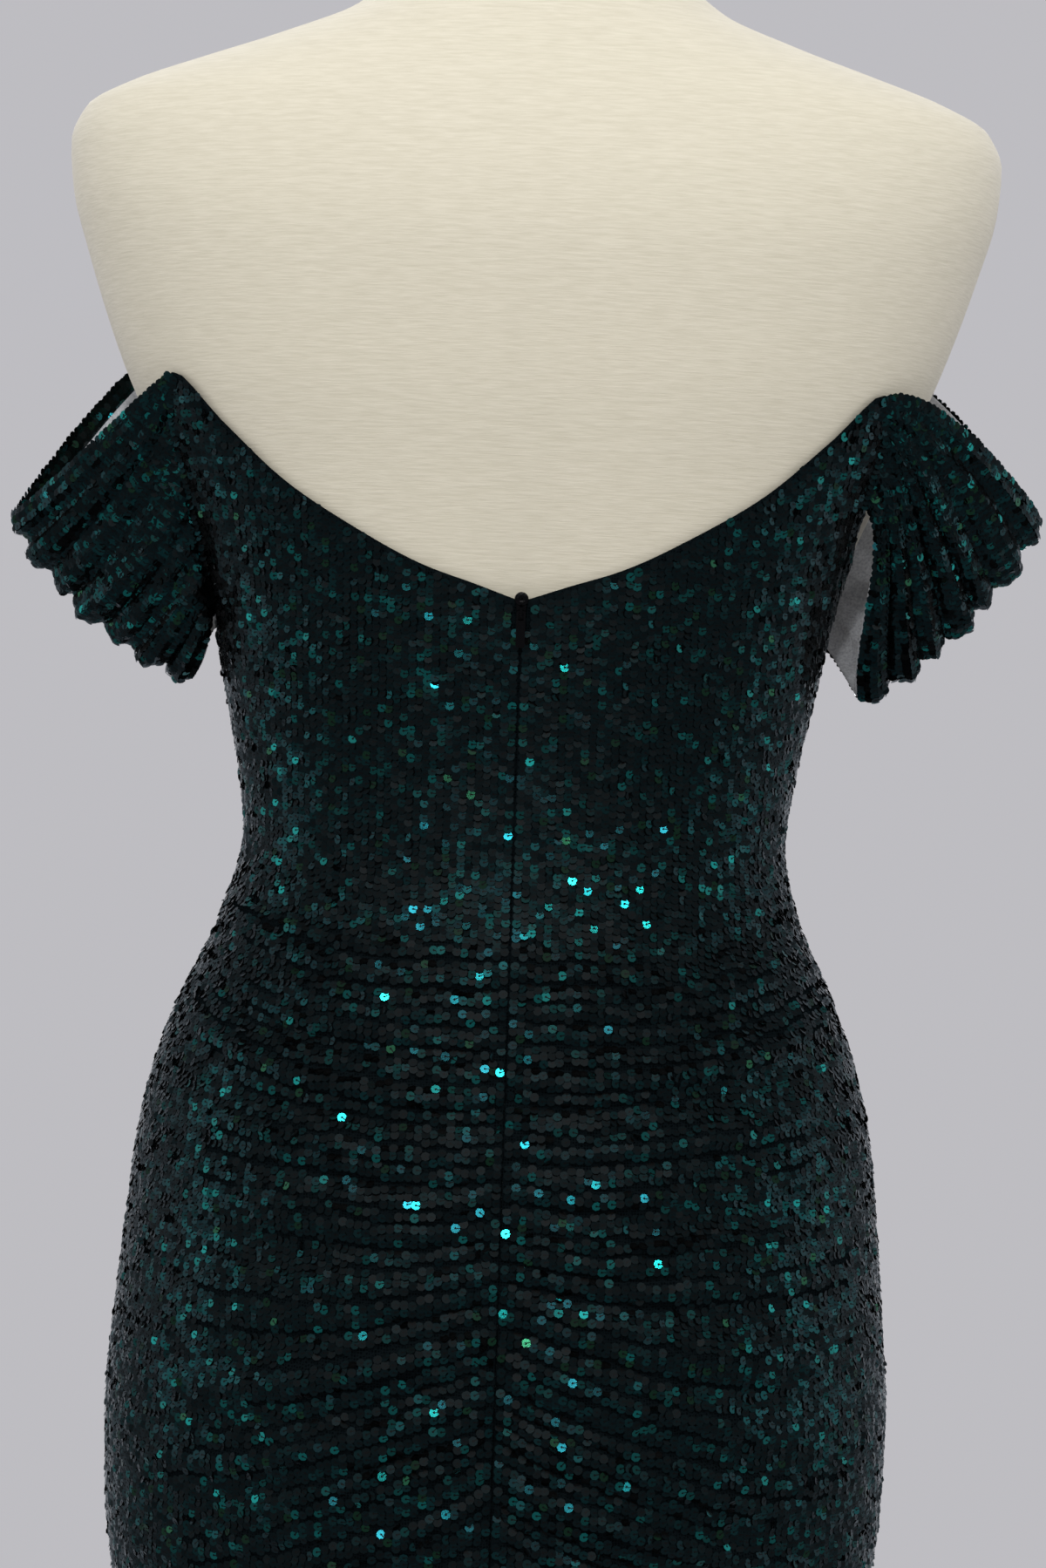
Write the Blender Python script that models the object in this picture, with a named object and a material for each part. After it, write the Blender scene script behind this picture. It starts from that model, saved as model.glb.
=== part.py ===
"""Off-shoulder maxi dress, standing on a limbless dress form.

Metres, +Z up, the floor at z = 0. The front of the garment faces -Y and its back, with the
zip and the gathered seam, faces +Y. The wearer's left is +X.

The form is one figure, given as level sections from the floor up. The dress is the same
figure moved out by its ease and its cloth, cut at the seams and at the top edge, with the
gathers of the back seam and the flutes of the hem raised on it. An angle is counted round
the figure from the centre back, through the wearer's left side to the centre front.
"""

from math import cos, pi, radians, sin

import bmesh
import bpy
import numpy as np

# ---------------------------------------------------------------- driving dimensions
SEAM_GAP = 0.0003      # between two pieces that are sewn, screwed or laid together
EASE = 0.0013          # between the form and the inside of the cloth
CLOTH = 0.0012         # the sequinned cloth with its backing
LINING = 0.0010        # the pale lining of the sleeves

FORM_BOTTOM = 0.700    # the torso ends at mid thigh
NECK_TOP = 1.530
HEM_Z = 0.024          # the hem clears the floor

# Level sections of the figure: height, half width, depth behind and in front of the axis,
# and the power of the superellipse (2 is an ellipse, more is squarer).
FIGURE = (
    # z      half_w  back    front   power
    (0.024, 0.2520, 0.2640, 0.2300, 2.00),
    (0.120, 0.2160, 0.2200, 0.1960, 2.00),
    (0.250, 0.1770, 0.1700, 0.1580, 2.00),
    (0.380, 0.1530, 0.1380, 0.1310, 2.05),
    (0.500, 0.1470, 0.1230, 0.1170, 2.10),
    (0.600, 0.1510, 0.1190, 0.1120, 2.15),
    (0.680, 0.1600, 0.1190, 0.1090, 2.20),
    (0.744, 0.1675, 0.1215, 0.1080, 2.20),
    (0.784, 0.1717, 0.1255, 0.1080, 2.20),
    (0.824, 0.1725, 0.1285, 0.1080, 2.20),
    (0.864, 0.1697, 0.1290, 0.1070, 2.15),
    (0.904, 0.1658, 0.1245, 0.1050, 2.10),
    (0.944, 0.1614, 0.1160, 0.1020, 2.10),
    (0.984, 0.1520, 0.1050, 0.0980, 2.10),
    (1.024, 0.1347, 0.0950, 0.0930, 2.10),
    (1.044, 0.1259, 0.0900, 0.0915, 2.10),
    (1.080, 0.1178, 0.0845, 0.0910, 2.10),
    (1.104, 0.1205, 0.0850, 0.0930, 2.10),
    (1.144, 0.1280, 0.0895, 0.0990, 2.15),
    (1.188, 0.1375, 0.0960, 0.1080, 2.20),
    (1.230, 0.1540, 0.1030, 0.1130, 2.25),
    (1.284, 0.1790, 0.1110, 0.1110, 2.30),
    (1.334, 0.1960, 0.1140, 0.1010, 2.30),
    (1.358, 0.2024, 0.1110, 0.0910, 2.30),
    (1.378, 0.2040, 0.1050, 0.0820, 2.30),
    (1.393, 0.1980, 0.0985, 0.0750, 2.30),
    (1.403, 0.1810, 0.0930, 0.0700, 2.25),
    (1.413, 0.1540, 0.0870, 0.0650, 2.20),
    (1.425, 0.1200, 0.0790, 0.0600, 2.10),
    (1.440, 0.0835, 0.0690, 0.0550, 2.05),
    (1.457, 0.0650, 0.0615, 0.0520, 2.00),
    (1.480, 0.0580, 0.0570, 0.0510, 2.00),
    (1.530, 0.0560, 0.0550, 0.0530, 2.00),
)
BUST = dict(apart=0.084, width=0.056, height=1.222, tall=0.066, depth=0.031)
BUST_BRIDGED = 0.55    # the share of the hollow between the breasts that the cloth spans
BUST_EASE = 0.0018     # more ease over the fullest part of the bust
SEAT_VALLEY = dict(width=0.030, height=0.870, tall=0.090, depth=0.006)
SPINE_VALLEY = dict(width=0.016, height=1.120, tall=0.130, depth=0.0040)

# The top edge of the dress, from the centre back to the centre front.
TOP_EDGE = (
    # degrees  z
    (0.0, 1.1850),
    (6.0, 1.1880),
    (15.0, 1.1990),
    (27.0, 1.2150),
    (38.0, 1.2330),
    (47.0, 1.2555),
    (55.0, 1.2760),
    (80.0, 1.1710),
    (92.0, 1.1580),
    (100.0, 1.1650),
    (122.0, 1.3010),
    (136.0, 1.2860),
    (152.0, 1.2660),
    (168.0, 1.2460),
    (180.0, 1.2370),
)
ARMHOLE_BACK = (55.0, 80.0)    # the sleeve joins the top edge between these angles
ARMHOLE_FRONT = (122.0, 100.0)
BACK_COLUMNS = (0, 5, 12, 20, 29, 38, 47, 55, 62, 69, 76, 84, 92)
FRONT_COLUMNS = (92, 100, 107, 115, 122, 129, 135, 141, 147, 153, 159, 166, 173, 180)
BODICE_ROWS = {"front": 10, "back": 8}
SKIRT_ROWS = (0.690, 0.640, 0.580, 0.520, 0.460, 0.400, 0.340, 0.270, 0.200, 0.130, 0.070, HEM_Z)
FRONT_ROWS = (1.050, 1.028, 1.006, 0.984, 0.962, 0.936, 0.905, 0.870, 0.830, 0.785, 0.740)

# How the folds run from the back seam: for a fold that leaves the seam at this height,
# how far it has dropped 5 cm and 12 cm out to the side.
FOLD_LINES = (
    # z      drop_5   drop_12
    (0.770, 0.0240, 0.0480),
    (0.842, 0.0220, 0.0470),
    (0.865, 0.0190, 0.0400),
    (0.887, 0.0150, 0.0330),
    (0.900, 0.0110, 0.0220),
    (0.909, 0.0060, 0.0090),
    (0.932, 0.0020, 0.0010),
    (0.962, 0.0010, -0.0080),
    (0.987, 0.0020, -0.0130),
    (1.028, 0.0010, -0.0120),
    (1.050, -0.0010, -0.0100),
)
GATHER_TOP = 1.050
GATHER_END = 0.768
# The largest folds on each side of the seam: height at the seam, how far the ridge stands
# out, its half width, and how far it reaches to the side.
FOLDS = {
    "left": (
        # z      depth   width   reach
        (1.0134, 0.0030, 0.0085, 0.135),
        (0.9826, 0.0036, 0.0080, 0.150),
        (0.9577, 0.0040, 0.0080, 0.160),
        (0.9335, 0.0040, 0.0078, 0.150),
        (0.9080, 0.0042, 0.0080, 0.150),
        (0.8850, 0.0044, 0.0080, 0.145),
        (0.8620, 0.0046, 0.0080, 0.140),
        (0.8400, 0.0044, 0.0080, 0.130),
        (0.8150, 0.0040, 0.0085, 0.115),
        (0.7880, 0.0034, 0.0090, 0.100),
    ),
    "right": (
        (1.0190, 0.0030, 0.0080, 0.140),
        (0.9900, 0.0040, 0.0085, 0.160),
        (0.9640, 0.0038, 0.0080, 0.150),
        (0.9435, 0.0036, 0.0078, 0.145),
        (0.9200, 0.0042, 0.0080, 0.155),
        (0.8980, 0.0044, 0.0078, 0.150),
        (0.8765, 0.0046, 0.0080, 0.145),
        (0.8530, 0.0044, 0.0080, 0.135),
        (0.8280, 0.0042, 0.0085, 0.120),
        (0.7990, 0.0036, 0.0090, 0.105),
    ),
}
# The flutes that open towards the hem.
FLUTES = (
    # degrees  half   depth
    (4, 15, 0.024),
    (41, 14, 0.018),
    (78, 15, 0.022),
    (117, 16, 0.017),
    (158, 17, 0.021),
    (201, 16, 0.018),
    (243, 15, 0.021),
    (284, 16, 0.017),
    (322, 15, 0.023),
)
FLUTE_TOP = 0.460

# Sleeves: a band from the back armhole, round the outside of the arm, to the front armhole.
# Each edge is two smooth curves that meet at the turn. The joints lie on the armhole.
SLEEVES = {
    "left": (
        # place          top edge                     bottom edge
        ("back_swell", (0.1660, 0.0560, 1.2655), (0.1345, 0.0310, 1.1658)),
        ("back_turn", (0.2155, 0.0240, 1.2185), (0.1400, 0.0200, 1.1502)),
        ("turn", (0.2276, 0.0000, 1.2161), (0.1454, 0.0040, 1.1456)),
        ("front_turn", (0.2262, -0.0240, 1.2282), (0.1455, -0.0120, 1.1514)),
        ("front_swell", (0.1925, -0.0500, 1.2900), (0.1435, -0.0260, 1.1670)),
    ),
    "right": (
        ("back_swell", (0.1710, 0.0580, 1.2840), (0.1596, 0.0460, 1.2153)),
        ("back_turn", (0.2210, 0.0240, 1.2365), (0.1435, 0.0300, 1.1722)),
        ("turn", (0.2285, 0.0000, 1.2277), (0.1509, 0.0060, 1.1458)),
        ("front_turn", (0.2270, -0.0240, 1.2380), (0.1486, -0.0140, 1.1517)),
        ("front_swell", (0.1863, -0.0500, 1.2930), (0.1447, -0.0260, 1.1627)),
    ),
}
SLEEVE_JOINTS = {
    # the share of the armhole that the gathered end of the band takes
    "left": dict(back=(0.00, 0.95), front=(0.00, 0.95)),
    "right": dict(back=(0.02, 0.49), front=(0.00, 0.95)),
}
TURN_BOW = {"left": 0.008, "right": 0.007}
SLEEVE_OUT = 0.0036    # from the figure to the outer face of the sleeve where it is joined
ARMHOLE_RADIUS = 0.14  # turns the gap along the panel's edge into an angle
ARMHOLE_GAP = 0.0007
LINING_GAP = 0.0005    # along the unpleated band's normal: on a steep pleat about 0.3 mm
# The pleats, from the top edge down.
PLEATS = {
    "left": (
        # share   depth
        (0.12, 0.0032),
        (0.16, 0.0056),
        (0.12, 0.0038),
        (0.19, 0.0060),
        (0.12, 0.0040),
        (0.17, 0.0055),
        (0.12, 0.0044),
    ),
    "right": (
        (0.13, 0.0036),
        (0.18, 0.0058),
        (0.12, 0.0040),
        (0.15, 0.0056),
        (0.12, 0.0040),
        (0.16, 0.0060),
        (0.14, 0.0048),
    ),
}
SLEEVE_STATIONS = (0.0, 0.13, 0.27, 0.41, 0.5, 0.59, 0.73, 0.87, 1.0)

ZIP_TOP = 1.1830
ZIP_BOTTOM = 0.9950
TAPE_HALF = 0.0060
TAPE_THICK = 0.0004
COIL_HALF = 0.0015
COIL_THICK = 0.0010

SLIDER_Z = 1.1805      # the height of the pull's hinge
SLIDER_TILT = radians(8.4)
SLIDER_THICK = 0.0012
BRIDGE_HALF = 0.0006   # half the width of the slider's bridge
BRIDGE_WALL = 0.0007
BRIDGE_REACH = 0.0014  # from the hinge to the inside of the bridge's posts
BRIDGE_ROOM = 0.00078  # from the hinge to the slider's face and to the bridge
PULL_HALF_THICK = 0.0004
PULL_LENGTH = 0.0148

NECK_PLATE_RADIUS = 0.052
NECK_PLATE_THICK = 0.010
POLE_RADIUS = 0.0125
BASE_RADIUS = 0.165
BASE_THICK = 0.010
COLLAR_RADIUS = 0.026
COLLAR_HEIGHT = 0.045
TORSO_SIDES = 40

COLOURS = {
    # slot            red    green  blue   rough  metal
    "sequin_cloth": (0.010, 0.045, 0.050, 0.35, 0.6),
    "sleeve_lining": (0.55, 0.56, 0.57, 0.80, 0.0),
    "form_jersey": (0.78, 0.74, 0.64, 0.85, 0.0),
    "zip_tape": (0.010, 0.012, 0.014, 0.80, 0.0),
    "black_enamel": (0.012, 0.012, 0.014, 0.30, 0.7),
    "satin_steel": (0.55, 0.56, 0.58, 0.32, 1.0),
    "turned_wood": (0.42, 0.25, 0.13, 0.45, 0.0),
}


# ---------------------------------------------------------------- curves and the figure
def through(table, column, at):
    """A smooth curve through a table's first column and the given one, with no overshoot."""
    k = np.array([row[0] for row in table], float)
    v = np.array([row[column] for row in table], float)
    at = np.clip(at, k[0], k[-1])
    steps = np.diff(v) / np.diff(k)
    same_way = steps[:-1] * steps[1:] > 0
    total = np.where(same_way, steps[:-1] + steps[1:], 1.0)
    inner = np.where(same_way, 2 * steps[:-1] * steps[1:] / total, 0.0)
    slopes = np.concatenate([steps[:1], inner, steps[-1:]])
    i = np.clip(np.searchsorted(k, at, side="right") - 1, 0, len(k) - 2)
    width = k[i + 1] - k[i]
    t = (at - k[i]) / width
    rise = t * t * (3 - 2 * t)
    lift = width * t * (1 - t) * (slopes[i] * (1 - t) - slopes[i + 1] * t)
    return v[i] * (1 - rise) + v[i + 1] * rise + lift


def smooth_step(x):
    """0 below 0, 1 above 1 and a soft rise between."""
    x = np.clip(x, 0.0, 1.0)
    return x * x * (3 - 2 * x)


def bell(x):
    """e to the power of minus x squared."""
    return np.exp(-x * x)


def figure(theta, z, cloth=False):
    """Points of the figure, or of the cloth's own line where it spans a hollow."""
    theta, z = np.broadcast_arrays(np.asarray(theta, float), np.asarray(z, float))
    half_w, back, front, power = (through(FIGURE, column, z) for column in (1, 2, 3, 4))
    s, c = np.sin(theta), np.cos(theta)
    x = half_w * np.sign(s) * np.abs(s) ** (2 / power)
    deep = np.where(c > 0, back, -front)
    y = deep * np.abs(c) ** (2 / power)
    lobe = bell((np.abs(x) - BUST["apart"]) / BUST["width"])
    spanned = BUST_BRIDGED if cloth else 0.0
    lobe = np.where(np.abs(x) < BUST["apart"], lobe + spanned * (1 - lobe), lobe)
    lobe = lobe * bell((z - BUST["height"]) / BUST["tall"])
    y = y - (BUST["depth"] + (BUST_EASE if cloth else 0)) * lobe * smooth_step(-2 * c)
    for valley, is_spanned in ((SEAT_VALLEY, False), (SPINE_VALLEY, cloth)):
        dip = bell(x / valley["width"]) * bell((z - valley["height"]) / valley["tall"])
        y = y - (0 if is_spanned else valley["depth"]) * dip * smooth_step(2 * c)
    return np.stack([x, y, z], axis=-1)


def cloth_at(theta, z, out):
    """Points of the cloth's line moved out, level, at right angles to its section."""
    step = 1e-3
    along = figure(theta + step, z, cloth=True) - figure(theta - step, z, cloth=True)
    way = np.stack([-along[..., 1], along[..., 0], 0 * along[..., 0]], axis=-1)
    way = way / np.linalg.norm(way, axis=-1, keepdims=True)
    return figure(theta, z, cloth=True) + way * np.asarray(out)[..., None]


# ---------------------------------------------------------------- making meshes
def material(slot):
    found = bpy.data.materials.get(slot)
    if found:
        return found
    red, green, blue, rough, metal = COLOURS[slot]
    made = bpy.data.materials.new(slot)
    made.use_nodes = True
    shader = made.node_tree.nodes["Principled BSDF"]
    shader.inputs["Base Color"].default_value = (red, green, blue, 1)
    shader.inputs["Roughness"].default_value = rough
    shader.inputs["Metallic"].default_value = metal
    return made


def finished(name, bm, slot):
    """A named object from a closed bmesh, with its faces turned out."""
    bmesh.ops.recalc_face_normals(bm, faces=bm.faces)
    if bm.calc_volume(signed=True) < 0:
        bmesh.ops.reverse_faces(bm, faces=bm.faces)
    mesh = bpy.data.meshes.new(name)
    bm.to_mesh(mesh)
    bm.free()
    made = bpy.data.objects.new(name, mesh)
    bpy.context.scene.collection.objects.link(made)
    mesh.materials.append(material(slot))
    mesh.shade_smooth()
    mesh.set_sharp_from_angle(angle=radians(40))
    return made


def skin(name, rings, slot):
    """A closed solid through rings of points that run the same way, with flat ends."""
    bm = bmesh.new()
    verts = [[bm.verts.new(p) for p in ring] for ring in rings]
    for low, high in zip(verts, verts[1:]):
        for k in range(len(low)):
            bm.faces.new((low[k - 1], low[k], high[k], high[k - 1]))
    bm.faces.new(verts[0])
    bm.faces.new(verts[-1])
    return finished(name, bm, slot)


def wall(name, outer, inner, slot):
    """A cloth wall between two grids of points, closed round its edge.

    Every square is split along the same diagonal, so that layers on one grid stay apart."""
    rows, columns = outer.shape[:2]
    bm = bmesh.new()
    sheets = [[[bm.verts.new(p) for p in row] for row in grid] for grid in (outer, inner)]
    for sheet in sheets:
        for r in range(rows - 1):
            for c in range(columns - 1):
                bm.faces.new((sheet[r][c], sheet[r][c + 1], sheet[r + 1][c + 1]))
                bm.faces.new((sheet[r][c], sheet[r + 1][c + 1], sheet[r + 1][c]))
    rim = [(0, c) for c in range(columns)] + [(r, columns - 1) for r in range(1, rows)]
    rim += [(rows - 1, c) for c in range(columns - 2, -1, -1)]
    rim += [(r, 0) for r in range(rows - 2, 0, -1)]
    for k, (r, c) in enumerate(rim):
        was_r, was_c = rim[k - 1]
        corners = (sheets[0][was_r][was_c], sheets[0][r][c], sheets[1][r][c], sheets[1][was_r][was_c])
        bm.faces.new(corners)
    return finished(name, bm, slot)


def turned(name, profile, slot, sides=32, y=0.0):
    """A turned piece from its (radius, height) steps, bottom first."""
    angles = np.arange(sides) * 2 * pi / sides
    rings = [
        np.stack([r * np.cos(angles), y + r * np.sin(angles), np.full(sides, z)], axis=-1)
        for r, z in profile
    ]
    return skin(name, rings, slot)


# ---------------------------------------------------------------- the dress form
def build_form():
    theta = np.arange(TORSO_SIDES) * 2 * pi / TORSO_SIDES
    body = np.linspace(FORM_BOTTOM + 0.010, 1.366, 34)
    shoulders = (1.378, 1.387, 1.394, 1.400, 1.406, 1.413, 1.420, 1.429, 1.439, 1.450)
    neck = (1.462, 1.480, NECK_TOP)
    rings = [figure(theta, z) for z in (*body, *shoulders, *neck)]
    under = rings[0] * (0.96, 0.96, 1.0)
    under[:, 2] = FORM_BOTTOM
    skin("form_torso", [under, *rings], "form_jersey")

    plate, edge = NECK_TOP + SEAM_GAP, 0.003
    turned(
        "form_neck_plate",
        (
            (NECK_PLATE_RADIUS - edge, plate),
            (NECK_PLATE_RADIUS, plate + edge),
            (NECK_PLATE_RADIUS - edge, plate + NECK_PLATE_THICK - edge / 2),
            (NECK_PLATE_RADIUS - 3 * edge, plate + NECK_PLATE_THICK),
        ),
        "turned_wood",
        y=0.001,
    )
    turned(
        "form_base",
        ((BASE_RADIUS, 0.0), (BASE_RADIUS, BASE_THICK - 0.004), (BASE_RADIUS - 0.004, BASE_THICK)),
        "satin_steel",
        sides=48,
    )
    collar_foot = BASE_THICK + SEAM_GAP
    collar_top = collar_foot + COLLAR_HEIGHT
    turned(
        "form_collar",
        (
            (COLLAR_RADIUS, collar_foot),
            (COLLAR_RADIUS, collar_top - 0.006),
            (COLLAR_RADIUS - 0.006, collar_top),
        ),
        "satin_steel",
    )
    turned(
        "form_pole",
        ((POLE_RADIUS, collar_top + SEAM_GAP), (POLE_RADIUS, FORM_BOTTOM - SEAM_GAP)),
        "satin_steel",
        sides=24,
    )


# ---------------------------------------------------------------- the body of the dress
def fold_line(start, across):
    """The height of a fold that leaves the back seam at start, across metres to the side."""
    slope_5 = through(FOLD_LINES, 1, start) / 0.05
    slope_12 = through(FOLD_LINES, 2, start) / 0.12
    curl = (slope_12 - slope_5) / (0.12 - 0.05)
    return start - across * (slope_5 + curl * (across - 0.05))


def fold_height(side, across, z):
    """How far the gathers of one back panel stand out."""
    height = np.zeros_like(z)
    for start, depth, width, reach in FOLDS[side]:
        fade = smooth_step((reach - across) / (0.45 * reach))
        pinched = 0.3 + 0.7 * smooth_step(across / 0.022)
        height += depth * bell((z - fold_line(start, across)) / width) * fade * pinched
    return height


def flute_height(theta, z):
    """How far the skirt's flutes stand out: nothing at the knee and all of it at the hem."""
    opened = np.clip((FLUTE_TOP - z) / (FLUTE_TOP - HEM_Z), 0, 1) ** 1.5
    height = np.zeros_like(z)
    for degrees, half, depth in FLUTES:
        turn = (np.degrees(theta) - degrees + 180) % 360 - 180
        height += depth * bell(turn / half)
    return opened * height


def top_edge(theta):
    from_back = np.abs((np.degrees(theta) + 180) % 360 - 180)
    return through(TOP_EDGE, 1, from_back)


def gather_rows(side, theta):
    """Heights along the ridge and the valley of each fold, a row for each, a column an angle."""
    ridges = [row[0] for row in FOLDS[side]]
    valleys = [(a + b) / 2 for a, b in zip(ridges, ridges[1:])]
    starts = np.array(sorted([GATHER_TOP, GATHER_END, *ridges, *valleys], reverse=True))[:, None]
    z = np.broadcast_to(starts, (len(starts), len(theta)))
    for _ in range(4):
        across = np.abs(figure(np.broadcast_to(theta, z.shape), z, cloth=True)[..., 0])
        z = fold_line(starts, across)
    return z


def panel_heights(theta, bodice_rows, lower):
    """Rows from the top edge down to the first lower row, and then the lower rows."""
    share = np.arange(bodice_rows)[:, None] / bodice_rows
    bodice = top_edge(theta) * (1 - share) + lower[0] * share
    skirt = np.repeat(np.array(SKIRT_ROWS)[:, None], len(theta), axis=1)
    return np.concatenate([bodice, lower, skirt])


def build_body():
    angles = np.radians(FRONT_COLUMNS)
    theta = np.concatenate([angles, 2 * pi - angles[-2::-1]])
    lower = np.repeat(np.array(FRONT_ROWS)[:, None], len(theta), axis=1)
    z = panel_heights(theta, BODICE_ROWS["front"], lower)
    turn = np.broadcast_to(theta, z.shape)
    flutes = flute_height(turn, z)
    faces = []
    for out in (EASE + CLOTH, EASE):
        points = cloth_at(turn, z, out + flutes)
        points[:, (0, -1), 1] -= SEAM_GAP
        faces.append(points)
    wall("front", *faces, "sequin_cloth")

    for side, sign in (("left", 1), ("right", -1)):
        theta = sign * np.radians(BACK_COLUMNS)
        z = panel_heights(theta, BODICE_ROWS["back"], gather_rows(side, theta))
        turn = np.broadcast_to(theta, z.shape)
        across = np.abs(figure(turn, z, cloth=True)[..., 0])
        raised = flute_height(turn, z) + fold_height(side, across, z)
        faces = []
        for out in (EASE + CLOTH, EASE):
            points = cloth_at(turn, z, out + raised)
            points[..., 0] += sign * SEAM_GAP / 2 * bell(points[..., 0] / 0.010)
            points[:, 0, 0] = sign * SEAM_GAP / 2
            faces.append(points)
        wall(f"back_{side}", *faces, "sequin_cloth")


# ---------------------------------------------------------------- the sleeves
def armhole(side, part, share):
    """Points along the panel's armhole edge, just clear of it, on the sleeve's outer face."""
    ends, columns = (ARMHOLE_BACK, BACK_COLUMNS) if part == "back" else (ARMHOLE_FRONT, FRONT_COLUMNS)
    from_share, to_share = SLEEVE_JOINTS[side][part]
    degrees = ends[0] + (ends[1] - ends[0]) * (from_share + (to_share - from_share) * share)
    corners = np.radians(columns)
    clear = ARMHOLE_GAP / ARMHOLE_RADIUS * (1 if part == "back" else -1)
    edge = cloth_at(corners + clear, top_edge(corners), np.full(len(corners), SLEEVE_OUT))
    return np.stack([np.interp(degrees, columns, edge[:, axis]) for axis in range(3)], axis=-1)


def sleeve_base(side, u, v):
    """The band without its pleats: u runs round the arm and v from the top edge down."""
    rows = {place: np.array([top, bottom]) for place, top, bottom in SLEEVES[side]}
    down = v[..., None]
    place = {name: ends[0] * (1 - down) + ends[1] * down for name, ends in rows.items()}
    bow = TURN_BOW[side] * np.sin(pi * down) * np.array((0.66, 0.0, -0.75))
    for name in ("back_turn", "turn", "front_turn"):
        place[name] = place[name] + bow
    halves = []
    for part in ("back", "front"):
        t = (np.clip(2 * u, 0, 1) if part == "back" else np.clip(2 - 2 * u, 0, 1))[..., None]
        joint = armhole(side, part, v)
        halves.append(
            joint * (1 - t) ** 3
            + place[f"{part}_swell"] * 3 * t * (1 - t) ** 2
            + place[f"{part}_turn"] * 3 * t**2 * (1 - t)
            + place["turn"] * t**3
        )
    return np.where(u[..., None] <= 0.5, halves[0], halves[1])


def normals(points):
    """Unit normals of a grid, outwards for a grid that runs round and then down."""
    round_arm, down = np.gradient(points, axis=(0, 1))
    way = np.cross(round_arm, down)
    return way / np.linalg.norm(way, axis=-1, keepdims=True)


def pleat_rows(side):
    """Rows at each pleat's valley and crest, down the band, and how far each stands out."""
    shares, depths = np.array(PLEATS[side]).T
    valleys = np.concatenate([[0], np.cumsum(shares)])
    rows = np.empty(2 * len(shares) + 1)
    rows[0::2] = valleys
    rows[1::2] = (valleys[:-1] + valleys[1:]) / 2
    crests = np.zeros(len(rows))
    crests[1::2] = depths
    return rows, crests


def build_sleeves():
    for side, sign in (("left", 1), ("right", -1)):
        rows, crests = pleat_rows(side)
        u, v = np.meshgrid(SLEEVE_STATIONS, rows, indexing="ij")
        opened = smooth_step(1 - np.abs(2 * u - 1))
        base = sleeve_base(side, u, v)
        way = normals(base)
        pleated = base + way * ((0.15 + 0.85 * opened) * crests)[..., None]
        depths = (0, CLOTH, CLOTH + LINING_GAP, CLOTH + LINING_GAP + LINING)
        layers = [(pleated - way * depth) * (sign, 1, 1) for depth in depths]
        wall(f"sleeve_{side}", layers[0], layers[1], "sequin_cloth")
        wall(f"sleeve_lining_{side}", layers[2], layers[3], "sleeve_lining")


# ---------------------------------------------------------------- the zip
def build_zip():
    """The closed chain behind the seam: a flat tape with the coil along its inner side."""
    face = EASE - SEAM_GAP
    section = (
        # across      out
        (-TAPE_HALF, face),
        (TAPE_HALF, face),
        (TAPE_HALF, face - TAPE_THICK),
        (COIL_HALF, face - TAPE_THICK),
        (COIL_HALF, face - TAPE_THICK - COIL_THICK),
        (-COIL_HALF, face - TAPE_THICK - COIL_THICK),
        (-COIL_HALF, face - TAPE_THICK),
        (-TAPE_HALF, face - TAPE_THICK),
    )
    rings = []
    for z in np.linspace(ZIP_BOTTOM, ZIP_TOP, 14):
        across = np.array([row[0] for row in section])
        surface = np.interp(
            np.abs(across),
            *np.array([figure(radians(d), z, cloth=True)[:2] for d in (0.01, 3, 6, 9)]).T,
        )
        depth = surface + np.array([row[1] for row in section])
        rings.append(np.stack([across, depth, np.full(len(across), z)], axis=-1))
    skin("zip_chain", rings, "zip_tape")


def hinge_point():
    """The middle of the pull's top bar."""
    cloth_face = float(cloth_at(0.0, SLIDER_Z, EASE + CLOTH)[1])
    out = SEAM_GAP + SLIDER_THICK + BRIDGE_ROOM
    return np.array((0.0, cloth_face + out / cos(SLIDER_TILT), SLIDER_Z))


def slider_plate(name, outline, low, high):
    """A plate parallel to the cloth: its outline is (across, up) and low to high is out."""
    up, out = (0, sin(SLIDER_TILT), cos(SLIDER_TILT)), (0, cos(SLIDER_TILT), -sin(SLIDER_TILT))
    rings = [
        [hinge_point() + np.array((x, 0, 0)) + np.array(up) * t + np.array(out) * n for x, t in outline]
        for n in (low, high)
    ]
    return skin(name, rings, "black_enamel")


def build_slider():
    """A crowned plate on the closed chain, with a bridge that holds the pull."""
    half_top, half_foot, crown, foot = 0.0021, 0.0016, 0.0034, -0.0050
    arc = [radians(a) for a in range(0, 181, 20)]
    outline = [(half_top * cos(a), crown + half_top * sin(a)) for a in arc]
    outline += [(-half_foot, foot), (half_foot, foot)]
    face = -BRIDGE_ROOM
    body = slider_plate("zip_slider", outline, face - SLIDER_THICK, face)
    reach = BRIDGE_REACH + BRIDGE_WALL
    bridge_parts = (
        # name         foot end       top end        inner side     outer side
        ("post_above", BRIDGE_REACH, reach, face - 0.0002, BRIDGE_ROOM + BRIDGE_WALL),
        ("post_below", -reach, -BRIDGE_REACH, face - 0.0002, BRIDGE_ROOM + BRIDGE_WALL),
        ("cross_bar", 0.0002 - reach, reach - 0.0002, BRIDGE_ROOM, BRIDGE_ROOM + BRIDGE_WALL - 0.0001),
    )
    for name, start, end, low, high in bridge_parts:
        half = BRIDGE_HALF - (0.0001 if name == "cross_bar" else 0)
        corners = ((half, start), (half, end), (-half, end), (-half, start))
        part = slider_plate(name, corners, low, high)
        part.hide_render = True
        part.display_type = "WIRE"
        union = body.modifiers.new(name, "BOOLEAN")
        union.operation = "UNION"
        union.object = part


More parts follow.
